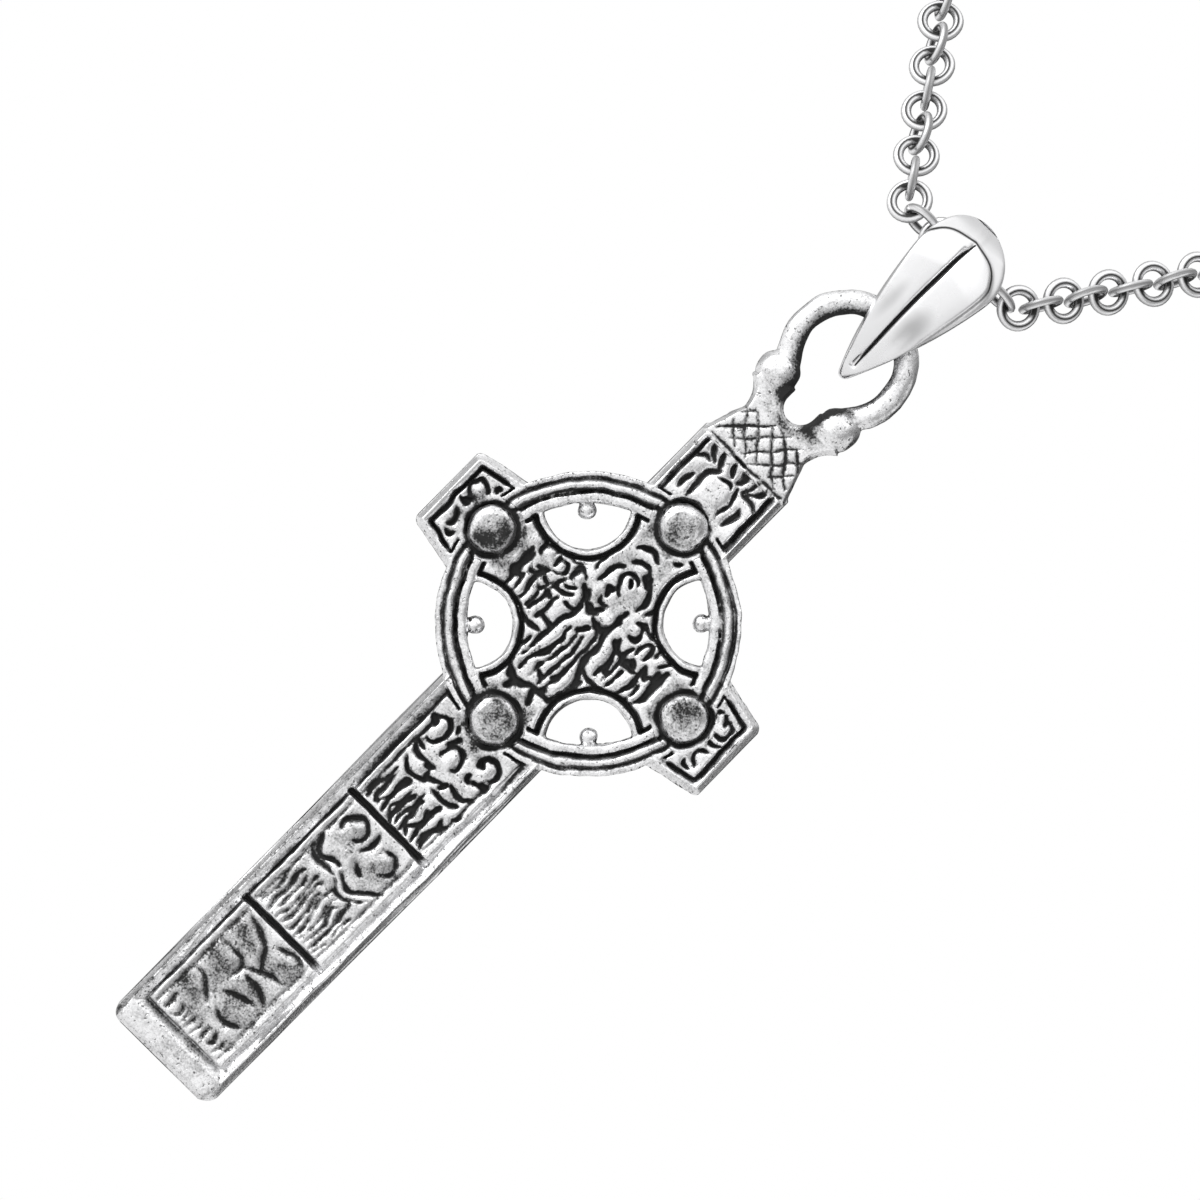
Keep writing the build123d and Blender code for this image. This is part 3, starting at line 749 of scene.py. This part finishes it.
cuts = read_plan(cuts, plan_across + 0.4 * askew_across, plan_up + 0.4 * askew_up)
hatch = read_plan(hatch, plan_across + 0.6 * askew_across, plan_up + 0.6 * askew_up)
print("share of cuts", round(float(cuts.mean()), 3), "and of hatch", round(float(hatch.mean()), 3))

# %% [markdown]
# ## The skin of the cross
# A copy of the CAD cross is remeshed into fine even cells, which rounds its edges as casting does.
# The CAD model has plain blocks where the relief is. They are sunk first, so that the planned forms
# can rise in their place. Its low cap is lifted to the borders, as its crosshatch is cut into it.

# %% Remesh
ground = middle.y - field_depth
block_height = 0.38
cap_height = 0.35
tolerance = 0.004
cross = cast_copy("cross", "cross_casting")
places = corners(cross)
height = (ground - places[:, 1]) / mm
places[np.abs(height - block_height) < tolerance, 1] = ground
places[np.abs(height - cap_height) < tolerance, 1] = ground - border_height
set_corners(cross, places)
use_modifier(cross, "REMESH", mode="VOXEL", voxel_size=0.06 * mm)
print("remeshed cross", triangles(cross))

# %% [markdown]
# ## Raising the forms
# Each vertex in a field is lifted to the plan's height, which is lower in gaps, round at a form's
# edge and lower towards the worn foot. Metal bridges the line under the cap here and there. Then the
# cut lines are pressed in, and the skin is smoothed and thinned to a size that is easy to handle.

# %% Raise the forms
def face_places(piece):
    """Each vertex's place on the face, and its height above the fields, in millimetres."""
    places = corners(piece)
    across = (places[:, 0] - middle.x) / mm
    up = (places[:, 2] - middle.z) / mm
    return across, up, (ground - places[:, 1]) / mm


# where the shaft's panels begin and end, as levels below the wheel's middle for a soft step
under_wheel = (7.0, 7.6)
under_upper = (13.4, 13.8)
under_middle = (20.4, 20.8)
under_lowest = (27.0, 27.2)

field = np.zeros(plan_shape)
for room, *_ in fields:
    np.maximum(field, soft_step(room(plan_across, plan_up), 0.0, 0.14), out=field)
for off in from_bosses:
    field *= soft_step(off + 0.03 * hills(0.2), 1.26, 1.34)
field *= 1 - (from_middle > in_wheel) * (1 - soft_step(from_middle, 7.3, 7.42))

across, up, height = face_places(cross)
near_gaps = 0.7 * blurred(gaps, 0.12 / plan_cell) + 0.7 * blurred(gaps, 0.3 / plan_cell)
rounding = 1 - np.clip(near_gaps, 0, 0.7)
depth_share = 1 - 0.4 * soft_step(-plan_up, *under_upper) - 0.2 * soft_step(-plan_up, *under_middle)
crests = 0.42 + 0.14 * blurred(swell, 3) + 0.025 * hills(0.25)
forms_plan = field * crests * (1 - gaps * depth_share) * rounding
bridge = soft_step(hills(0.35), -0.6, 0.3) * (1 - soft_step(np.abs(plan_up - 10.55), 0.15, 0.3))
bridge = bridge * (1 - soft_step(np.abs(plan_across), 2.1, 2.2))
forms = read_plan(np.maximum(forms_plan, 0.42 * bridge), across, up)
low_enough = (height > -0.15) & (height < 0.55)
places = corners(cross)
in_field = (read_plan(field, across, up) > 0.01) & low_enough
places[in_field, 1] = ground - forms[in_field] * mm
slope = in_field & (((across > 2.1) & (up < 0)) | (up < -27.0))
places[slope, 1] = ground - np.maximum(forms, height)[slope] * mm
for x, z in bosses:
    off = np.hypot(across - x, up - z)
    beside = (off > 1.25) & (off < 1.65) & (height > -0.3) & (height < 0.36)
    places[beside, 1] = ground - block_height * mm
front = height > -0.3
places[:, 1] += front * (0.28 * read_plan(cuts, across, up) + 0.14 * read_plan(hatch, across, up)) * mm
set_corners(cross, places)
use_modifier(cross, "SMOOTH", factor=0.5, iterations=2)
use_modifier(cross, "DECIMATE", ratio=min(1.0, 196000 / triangles(cross)))
cross.data.validate()               # thinning can leave a doubled face
print("cross", triangles(cross))

# %% [markdown]
# ## A hand's wavering
# Nothing carved by hand is quite straight. A slow noise moves the skin aside by a few hundredths of
# a millimetre, a quicker one makes the surface uneven, and the bosses draw in a little. The skin is
# then kept inside the box of the CAD cross.

# %% Waver
across, up, height = face_places(cross)
places = corners(cross)
for x, z in bosses:
    off = np.hypot(across - x, up - z)
    draw_in = 1 - 0.06 * (1 - soft_step(off, 1.25, 1.4))
    places[:, 0] = middle.x + (x + (across - x) * draw_in) * mm
    places[:, 2] = middle.z + (z + (up - z) * draw_in) * mm
    across = (places[:, 0] - middle.x) / mm
    up = (places[:, 2] - middle.z) / mm
noise.seed_set(7)                   # without a seed the noise differs from run to run
for number, place in enumerate(places):
    slow = noise.noise_vector(Vector(place) / (1.4 * mm))
    quick = noise.noise_vector(Vector(place) / (0.6 * mm))
    sideways = slow.x * 0.06 + quick.x * 0.045
    upwards = slow.z * 0.06 + quick.z * 0.045
    places[number] += np.array((sideways, quick.y * 0.05, upwards)) * mm
places = np.clip(places, cross_low, cross_high)
set_corners(cross, places)
print("vertices that waver", len(places))

# %% [markdown]
# ## How deep a point lies
# The blackening stays where the mop doesn't reach. A point is out of reach if it lies lower than
# the metal round it. So the face is read as a map of heights by looking at it along many lines of
# sight, the map is blurred, and each point compares its own height with the blurred one.

# %% Measure the recesses
def height_map(piece, cell):
    """The piece's heights seen from the front, on a grid, and the grid's lower left corner."""
    faces = [face.vertices for face in piece.data.polygons]
    tree = BVHTree.FromPolygons([vertex.co for vertex in piece.data.vertices], faces)
    places = corners(piece)
    low = places.min(axis=0) - 8 * cell
    steps = ((places.max(axis=0) + 8 * cell - low) / cell).astype(int)
    top = np.zeros((steps[0], steps[2]))
    back = places[:, 1].max()
    for column in range(steps[0]):
        for row in range(steps[2]):
            start = Vector((low[0] + column * cell, low[1], low[2] + row * cell))
            found = tree.ray_cast(start, Vector((0, 1, 0)))[0]
            if found:
                top[column, row] = back - found.y
    return top, low


def read_map(values, low, cell, places):
    """The map's value at each place."""
    column = np.rint((places[:, 0] - low[0]) / cell).astype(int)
    row = np.rint((places[:, 2] - low[2]) / cell).astype(int)
    return values[column, row]


cell = 0.06 * mm
top, low = height_map(cross, cell)
places = corners(cross)
border_top = places[:, 1].max() - ground + border_height
top = np.minimum(top, border_top)   # a boss is no wall that shades its surroundings
patina_and_painted_light = np.zeros(len(places))
for reach, scale, share in ((0.16, 0.09, 0.6), (0.4, 0.2, 0.4)):
    difference = blurred(top, reach * mm / cell) - blurred(top, 0.7)
    patina_and_painted_light += share * read_map(difference, low, cell, places) / (scale * mm)
for x, z in bosses:
    off = np.hypot((places[:, 0] - middle.x) / mm - x, (places[:, 2] - middle.z) / mm - z)
    flank = (off < boss_radius) & ((ground - places[:, 1]) / mm > 0.42)
    patina_and_painted_light[flank] = np.minimum(patina_and_painted_light[flank], 0.1)
print("patina_and_painted_light", np.round(np.percentile(patina_and_painted_light, (1, 25, 50, 75, 99)), 2))

# %% [markdown]
# ## The patina's plan, with painted shade
# The measured depth alone would blacken every place of the same depth alike. On a real cross the dip
# and the mop leave marks of their own: darker bosses, a greyer wheel and a brighter cap. The creases at
# the loop's knuckles and the loop's inner side are darkened with patina and painted shade, more on its
# left half, whose inner side faces away from the lamp. So two more maps are drawn, crease shade with
# patina that covers, and tone that is added, which also holds the painted shade of the soft hollows.

# %% Painted crease shade and tone
crease_shade_and_patina = np.zeros(plan_shape)
# dark creases at the loop's knuckles: patina and painted shade
for spots, width, strength in (
    ([(-1.4, 16.1), (-1.0, 15.2), (-1.1, 14.2)], 0.65, 1.1),
    ([(1.5, 15.8), (1.1, 15.2), (0.9, 14.4), (0.85, 13.6)], 0.4, 1.0),
    ([(-0.5, 13.3), (0.3, 13.25), (0.9, 13.45)], 0.35, 0.7),
    ([(-2.0, 15.9), (-1.5, 15.75)], 0.3, 0.5),
    ([(2.0, 15.95), (1.4, 15.8)], 0.3, 0.6),
):
    stroke(crease_shade_and_patina, spots, width, strength)
# the loop's inner side: patina and painted shade, darker on the left half, which faces away from the lamp
loop_middle = (0.0, 17.62)
below_bail = soft_step(plan_up, 15.3, 15.9)
ring(crease_shade_and_patina, loop_middle, 2.28, 0.42, below_bail * (plan_across < 0), 0.85)
ring(crease_shade_and_patina, loop_middle, 2.2, 0.3, below_bail * (plan_across >= 0), 0.62)

tone = np.zeros(plan_shape)
tone += 0.2 * (1 - soft_step(from_middle, 6.9, 7.1))
tone -= 0.55 * soft_step(plan_up, 10.3, 10.9)
tone -= 0.3 * soft_step(plan_up, 7.4, 7.8) * (1 - soft_step(plan_up, 10.3, 10.9))
for off, crown, round_it in zip(from_bosses, (0.25, 0.35, 0.3, 0.34), (0.1, 0.3, 0.1, 0.2)):
    tone += crown * (1 - soft_step(off, 1.0, 1.25)) * (1 + 0.4 * hills(0.25))
    tone += round_it * soft_step(off, 1.2, 1.4) * (1 - soft_step(off, 1.8, 2.4))
tone += 0.32 * (1 - soft_step(plan_across, -8.0, -7.0))
halo = 0.5 - 0.25 * soft_step(-plan_up, *under_upper)
tone += halo * blurred(gaps * field, 0.14 / plan_cell) + 0.5 * blurred(hollow_shade_and_patina, 3) * field
tone += 0.26 * soft_step(-plan_up, *under_wheel) * field
tone += 0.2 * (from_middle < in_wheel) + 0.3 * hills(0.45) * soft_step(plan_up, 13.8, 14.4)
print("mean grime", round(float(crease_shade_and_patina.mean()), 3), "and tone", round(float(tone.mean()), 3))

# %% [markdown]
# ## Storing the patina and the painted light
# Now depth, tone, lines and the crease shade become one number for each vertex, from -1 for rubbed
# metal to 1.5 for black. The relief is softer towards the worn foot, the shaft's borders get painted
# bands of light and shade that stand for the light falling on their slopes, and the sides and the
# back, which lie open to the mop, stay plain.

# %% Store the patina and the painted light
def store_patina_and_light(piece, values):
    attribute = piece.data.attributes.new("patina_and_painted_light", "FLOAT", "POINT")
    attribute.data.foreach_set("value", np.clip(values, -1, 1.5).astype(np.float32))


across, up, height = face_places(cross)
front = height > -0.3
upper_share = soft_step(-up, *under_upper)
middle_share = soft_step(-up, *under_middle)
near_field = np.minimum(1, 2.5 * blurred(field, 0.14 / plan_cell))
in_panel = read_plan(near_field, across, up) * front
softer = 0.35 * upper_share + 0.15 * middle_share + 0.3 * soft_step(-up, *under_lowest)
patina_and_painted_light *= 1 - in_panel * softer
patina_and_painted_light = patina_and_painted_light + read_plan(tone, across, up)
painted_border_light = (                    # from, to, painted level: below 0 painted light, above 0 painted shade
    (-3.2, -2.88, 0.42),
    (-2.88, -2.56, -0.3),
    (2.3, 2.62, -0.3),
    (2.64, 2.92, 0.2),
    (2.95, 3.3, -0.5),
)
# each band puts its level of painted light and shade in place of the patina
for start, end, level in painted_border_light:
    share = front * soft_step(-up, *under_wheel) * soft_step(across, start - 0.04, start + 0.04)
    share = share * (1 - soft_step(across, end - 0.04, end + 0.04))
    patina_and_painted_light = patina_and_painted_light * (1 - share) + level * share
carved = read_plan(gaps, across, up) * read_plan(field, across, up)
lines = np.maximum(0.95 * read_plan(hatch, across, up), 0.85 * read_plan(cuts, across, up))
softness = 1 - 0.4 * upper_share - 0.22 * middle_share
patina_and_painted_light = np.maximum(patina_and_painted_light, np.maximum(lines, 0.8 * carved * softness) * front)
# painted shade and patina in the loop's creases and on its inner side
patina_and_painted_light = np.maximum(patina_and_painted_light, read_plan(crease_shade_and_patina, across, up))
side_wall = (height < -0.25) & (up < 13.0)
back = height < -1.1
patina_and_painted_light[side_wall] = np.minimum(patina_and_painted_light[side_wall], 0.1)
patina_and_painted_light[back] = 0.05
store_patina_and_light(cross, patina_and_painted_light)
cross.data.materials.append(antiqued)
cross.data.shade_smooth()
use_modifier(cross, "WEIGHTED_NORMAL")
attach(cross, "cross")
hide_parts("cross")
print("share of black", round(float((patina_and_painted_light > 0.6).mean()), 2))

# %% [markdown]
# ## The bail
# A drop bail is stamped from sheet: a shield with a keel folds over at its top into a band that
# runs down the back. It is polished, and only the crease on the keel and the edge of the shield
# keep their black. The real one hangs a little aslant, so more of the band shows on its right. The
# shield's edge and the crease are two lines, of places (across, below the bail's top).

# %% Lines of the bail
bail_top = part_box("bail")[1].z
chain_ahead = 1.0                   # of the chain's line in front of the plane of the cross's back
shield = smooth_line([
    (0.0, 1.05), (1.2, 1.35), (1.85, 1.95), (2.1, 2.8), (1.78, 5.0),
    (1.22, 7.4), (0.75, 9.05), (0.45, 9.85), (0.3, 10.4),
])
crease = smooth_line([(0.08, 1.2), (-0.1, 2.6), (-0.16, 5.0), (-0.12, 7.2), (0.0, 9.2)])


def bail_places(piece):
    """Each vertex's place across and below the bail's top, and its depth in front of the chain."""
    places = corners(piece)
    return places[:, 0] / mm, (bail_top - places[:, 2]) / mm, (middle.y - places[:, 1]) / mm - chain_ahead


def line_share(across, up, line, width):
    """1 in the middle of a line and 0 beside it, for each place."""
    share = np.zeros(len(across))
    for (x, z), (x_end, z_end) in zip(line, line[1:]):
        length = (x_end - x) ** 2 + (z_end - z) ** 2
        onward = np.clip(((across - x) * (x_end - x) + (up - z) * (z_end - z)) / length, 0, 1)
        off = np.hypot(across - x - onward * (x_end - x), up - z - onward * (z_end - z))
        share = np.maximum(share, np.exp(-(off / (0.6 * width)) ** 2))
    return share


def bail_marks(across, down):
    """How near each place is to the crease and to the two sides of the shield's edge."""
    left = [(-x, z) for x, z in shield]
    fullness = 0.3 + 0.7 * np.sin(pi * np.clip((down - 0.2) / 9.8, 0, 1))
    crease_share = line_share(across, down, crease, 0.15 * fullness) * np.minimum(1, 0.3 + fullness)
    return crease_share, line_share(across, down, shield, 0.13), line_share(across, down, left, 0.13)


def half_shield(down):
    """Half the shield's width at each level, and less than nothing above its top."""
    return np.interp(down, [z for x, z in shield], [x for x, z in shield], left=-1, right=0)


print("shield", len(shield), "places, crease", len(crease))

# %% [markdown]
# ## Pressing the bail
# The CAD bail is remeshed and smoothed, and its front is pushed back by depths that add up: round
# the shield to leave it standing proud, along its edge and the crease, and towards its ends. At its
# right the metal gives way, so that the loop can pass when the cross swings. The band is smoothed
# far more than the shield.

# %% Press the bail
bail = cast_copy("bail", "bail_polished")
use_modifier(bail, "REMESH", mode="VOXEL", voxel_size=0.045 * mm)
use_modifier(bail, "SMOOTH", factor=0.5, iterations=25)
across, down, depth = bail_places(bail)
places = corners(bail)
places[:, 0] = (-0.1 + 0.902 * across + 0.046 * across ** 2) * mm
set_corners(bail, places)
across, down, depth = bail_places(bail)
half = half_shield(down)
outside = soft_step(np.abs(across) - half, -0.06, 0.06)
crease_share, right_share, left_share = bail_marks(across, down)
front = depth > 0.2
pushed = 0.3 * outside + 0.1 * np.maximum(right_share, left_share)
pushed += 0.22 * crease_share * soft_step(down, 1.0, 2.0) * (1 - soft_step(down, 8.2, 9.0))
pushed += 0.3 * (1 - np.sin(pi * np.clip((down - 0.4) / 9.8, 0, 1)))
aside = np.clip(np.abs(across) / np.maximum(half, 0.3), 0, 1)
pushed += 0.1 * (1 - np.sin(pi * aside))
pushed += 0.06 * aside * np.exp(-((down - 6.4) / 1.7) ** 2)
pushed *= 1 - soft_step(down, 8.7, 9.8)
# the loop's passage
passage = np.exp(-((down - 7.1) / 1.1) ** 2) * soft_step(across, 0.5, 1.0)
pushed = pushed * (1 - passage) - 0.12 * passage
places = corners(bail)
places[:, 1] += front * pushed * mm
set_corners(bail, places)
band = bail.vertex_groups.new(name="band")
tip = soft_step(down, 8.9, 9.6)
for number, share in enumerate(np.where(front, np.maximum(outside, tip), 1.0)):
    band.add([number], share, "REPLACE")
use_modifier(bail, "SMOOTH", factor=0.5, iterations=60, vertex_group="band")
use_modifier(bail, "SMOOTH", factor=0.5, iterations=3)
use_modifier(bail, "DECIMATE", ratio=min(1.0, 150000 / triangles(bail)))
print("bail", triangles(bail))

# %% [markdown]
# ## The bail's tarnish and painted reflections
# The black lies in the crease and along the upper edge of the shield. A light grey on the band and
# in two soft ovals, one on each facet, is painted reflection, the greys that a room throws on a polished
# bail.

# %% Tarnish and painted reflections of the bail
across, down, depth = bail_places(bail)
crease_share, right_share, left_share = bail_marks(across, down)
top_edge = np.clip((3.2 - down) / 1.2, 0, 1)
black = np.maximum(crease_share * 1.3, right_share * (0.42 + 0.25 * top_edge))
black = np.maximum(black, left_share * 0.7 * top_edge)
# a grey over the band beside the shield: painted reflection
black = np.maximum(black, 0.34 * soft_step(np.abs(across) - half_shield(down), -0.02, 0.1) * (down < 9))
# two soft grey ovals on the facets: painted reflections
for (x, z), (wide, long), strength in (
    ((0.75, 6.2), (1.15, 2.3), 0.43),
    ((-1.0, 5.8), (0.7, 2.6), 0.37),
):
    off = ((across - x) / wide) ** 2 + ((down - z) / long) ** 2
    black = np.maximum(black, strength * np.exp(-off))
store_patina_and_light(bail, black * (depth > 0.2))
bail.data.materials.append(polished)
bail.data.shade_smooth()
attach(bail, "bail")
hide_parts("bail")
print("share of tarnish", round(float((black > 0.3).mean()), 2))

# %% [markdown]
# ## The chain's line
# The chain's links follow the same few points as the CAD tube, as control points of a smooth
# curve. The curve goes through no corner of the route, but stays close to the tube.

# %% Chain route
chain_half = [
    (2.3, -112.2, -116.4),
    (3.5, -112.2, -116.4),
    (4.3, -111.5, -115.25),
    (8.9, -107.5, -108.5),
    (19.7, -97.8, -91.5),
    (38.0, -82.0, -60.6),
    (56.6, -65.8, -26.6),
    (61.8, -43.5, -11.6),
    (53.5, -21.5, -3.4),
    (36.5, -6.0, -0.5),
    (17.5, 1.0, 0.0),
    (6.1, 1.2, 0.0),
]
route = [(-x, y, z) for x, y, z in reversed(chain_half)] + chain_half
line = bpy.data.curves.new("chain_line", "CURVE")
line.dimensions = "3D"
line.resolution_u = 24
spline = line.splines.new("NURBS")
spline.points.add(len(route) - 1)
for point, (x, y, z) in zip(spline.points, route):
    point.co = (x * mm, y * mm, z * mm, 1)
spline.order_u = 3
spline.use_endpoint_u = True
line_object = bpy.data.objects.new("chain_line", line)
bpy.context.scene.collection.objects.link(line_object)
sampled = bpy.data.meshes.new_from_object(line_object)
walk = np.array([vertex.co for vertex in sampled.vertices])
bpy.data.objects.remove(line_object)
steps = np.linalg.norm(np.diff(walk, axis=0), axis=1)
along = np.concatenate(([0], np.cumsum(steps)))
print("chain line", round(along[-1] / mm, 1), "mm")


def on_chain(distance):
    """The place at that distance along the chain, and the direction there."""
    place = Vector([np.interp(distance, along, walk[:, axis]) for axis in range(3)])
    ahead = Vector([np.interp(distance + 0.3 * mm, along, walk[:, axis]) for axis in range(3)])
    behind = Vector([np.interp(distance - 0.3 * mm, along, walk[:, axis]) for axis in range(3)])
    return place, (ahead - behind).normalized()


# %% [markdown]
# ## The links
# One link is a ring of round wire, so the round of the wire is spun about the link's middle. It is
# modelled once, and each copy is turned by about a quarter turn from the one before, as links hang.
# Its crown has a shallow dark groove with bright metal on both sides. The wire is painted darker
# towards its rims and where the next link touches, painted shade that outlines each link. The links
# near the bail are seen closely, so they have more faces than the others.

# %% Links
link_across = 2.24 * mm
link_wire = 0.5 * mm
link_pitch = link_across - 2 * link_wire
closely_seen = 22 * mm


def one_link(around, wire_sides, tarnish_and_painted_light):
    """A ring of wire in the XY plane about the origin, with painted shade at its rims and where the next link
    touches.
    """
    centre_line = (link_across - link_wire) / 2
    bpy.ops.object.select_all(action="DESELECT")
    bpy.ops.mesh.primitive_circle_add(vertices=wire_sides, radius=link_wire / 2)
    link = bpy.context.object
    bpy.ops.object.mode_set(mode="EDIT")
    bpy.ops.mesh.select_all(action="SELECT")
    bpy.ops.transform.rotate(value=pi / 2, orient_axis="X", center_override=(0, 0, 0))
    bpy.ops.object.mode_set(mode="OBJECT")
    bpy.ops.object.transform_apply()
    # a shallow groove along the crown of the wire
    for corner in link.data.vertices:
        corner.select = abs(corner.co.x) < 0.1 * link_wire
    bpy.ops.object.mode_set(mode="EDIT")
    bpy.ops.transform.resize(value=(1, 1, 0.8), center_override=(0, 0, 0))
    bpy.ops.mesh.select_all(action="SELECT")
    bpy.ops.transform.translate(value=(centre_line, 0, 0))
    bpy.ops.mesh.spin(steps=around, angle=2 * pi, center=(0, 0, 0), axis=(0, 0, 1))
    bpy.ops.mesh.select_all(action="SELECT")
    bpy.ops.mesh.remove_doubles(threshold=0.001 * mm)
    bpy.ops.mesh.normals_make_consistent(inside=False)
    bpy.ops.object.mode_set(mode="OBJECT")
    places = corners(link)
    inward = (centre_line - np.hypot(places[:, 0], places[:, 1])) / (link_wire / 2)
    # painted shade where the next link touches
    contact_shade = soft_step(np.abs(places[:, 0]) / centre_line, 0.6, 0.9) * (inward > 0.1)
    # patina in the crown's groove, and painted shade that darkens the wire towards its rims
    patina_and_shade = np.where(np.abs(inward) < 0.1, 0.6, 0.15 + 0.04 * inward + 0.38 * inward ** 2)
    store_patina_and_light(link, tarnish_and_painted_light * np.maximum(patina_and_shade, 0.75 * contact_shade))
    return link


turns = np.random.default_rng(5)


def string_links(name, pattern, places):
    """Copies of a link at places along the chain, joined into one piece."""
    made = []
    for number, distance in places:
        place, direction = on_chain(distance)
        link = pattern.copy()
        link.data = pattern.data.copy()
        bpy.context.scene.collection.objects.link(link)
        face_on = Vector((0, -1, 0))
        side = direction.cross(face_on).normalized()
        facing = side.cross(direction).normalized()
        turned = radians(turns.normal(8, 5) if number % 2 else turns.normal(78, 7))
        normal = facing * cos(turned) + side * sin(turned)
        other = normal.cross(direction)
        axes = Matrix((direction, other, normal)).transposed().to_4x4()
        link.matrix_world = Matrix.Translation(place) @ axes
        link.data.transform(link.matrix_world)
        link.matrix_world = Matrix.Identity(4)
        made.append(link)
    pick(*made)
    bpy.ops.object.join()
    made[0].name = name
    made[0].data.shade_smooth()
    made[0].data.materials.append(polished)
    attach(made[0], "chain")
    return made[0]


count = int((along[-1] - link_across) / link_pitch / 2) * 2 + 1
start = (along[-1] - (count - 1) * link_pitch) / 2
places = [(number, start + number * link_pitch) for number in range(count)]
bottom = along[-1] / 2
close = [item for item in places if abs(item[1] - bottom) < closely_seen]
distant = [item for item in places if abs(item[1] - bottom) >= closely_seen]
fine_link = one_link(28, 12, 1.0)
near_links = string_links("chain_links_front", fine_link, close)
bpy.data.objects.remove(fine_link)
coarse_link = one_link(14, 6, 0.7)
far_links = string_links("chain_links_back", coarse_link, distant)
bpy.data.objects.remove(coarse_link)
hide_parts("chain")
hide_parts("chain")
print("links", count, "triangles", triangles(near_links) + triangles(far_links))

# %% [markdown]
# ## The clasp
# The clasp is a plain polished barrel at the nape. The CAD model's own mesh is good enough for it,
# so it only gets its finish.

# %% Finish the clasp
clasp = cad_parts["clasp"]
clasp.data.materials.clear()
clasp.data.materials.append(polished)
print("clasp", triangles(clasp))

# %% [markdown]
# ## The studio
# Polished metal shows its surroundings, so the light is the picture. A white room with one darker
# side gives silver its greys, and a large soft lamp on the other side gives it its whites. The
# camera itself sees a plain white room, through the Light Path node.

# %% Floor, world and lamps
bpy.ops.object.select_all(action="DESELECT")
bpy.ops.mesh.primitive_circle_add(vertices=96, radius=0.5, fill_type="NGON", location=(0, 0, -0.25))
floor = bpy.context.object
floor.name = "floor"
floor_paint, _, floor_shader = new_material("floor_paint")
floor_shader["Base Color"].default_value = (0.85, 0.85, 0.85, 1)
floor_shader["Roughness"].default_value = 0.8
floor.data.materials.append(floor_paint)

world = bpy.data.worlds.new("studio")
bpy.context.scene.world = world
world.use_nodes = True
room = Tone(world.node_tree)
way = room.node("ShaderNodeTexCoord", output="Generated")
rightward, backward, upward = [
    room.node("ShaderNodeVectorMath", {"operation": "DOT_PRODUCT"}, {0: way, 1: axis}, output=1)
    for axis in ((1, 0, 0), (0, 1, 0), (0, 0, 1))
]
photographer = (backward * -1.0).between(0.8, 0.99)
dark_side = rightward.between(0.15, 0.7) * (1.0 - rightward.between(0.85, 1.0) * 0.8)
dark_ground = (upward * -1.0).between(0.25, 0.9)
behind = backward.between(-0.1, 0.45) * (1.0 - upward.between(0.0, 0.6) * 0.6)
lit = 1.2 - photographer * 0.25 - dark_side * 0.85 - dark_ground * 0.4
left_side = (rightward * -1.0).between(-0.1, 0.6)
shown = lit * (1.0 - behind * (0.95 - left_side * 0.35))
seen = room.node("ShaderNodeLightPath", output="Is Camera Ray")
strength = shown * (1.0 - seen) + seen
surroundings = world.node_tree.nodes["Background"]
strength.into(surroundings.inputs["Strength"])
surroundings.inputs["Color"].default_value = (1, 1, 1, 1)

# a square soft lamp that looks at the wheel and isn't seen itself
lamp_place = Vector((-0.75, -0.45, 0.05))
lamp = bpy.data.objects.new("key", bpy.data.lights.new("key", "AREA"))
bpy.context.scene.collection.objects.link(lamp)
lamp.data.size = 0.6
lamp.data.energy = 3.0
lamp.location = lamp_place
lamp.rotation_euler = (middle - lamp_place).to_track_quat("-Z", "Y").to_euler()
lamp.visible_camera = False
bpy.context.scene.view_settings.view_transform = "Standard"
print("nodes of the studio's light", len(world.node_tree.nodes))
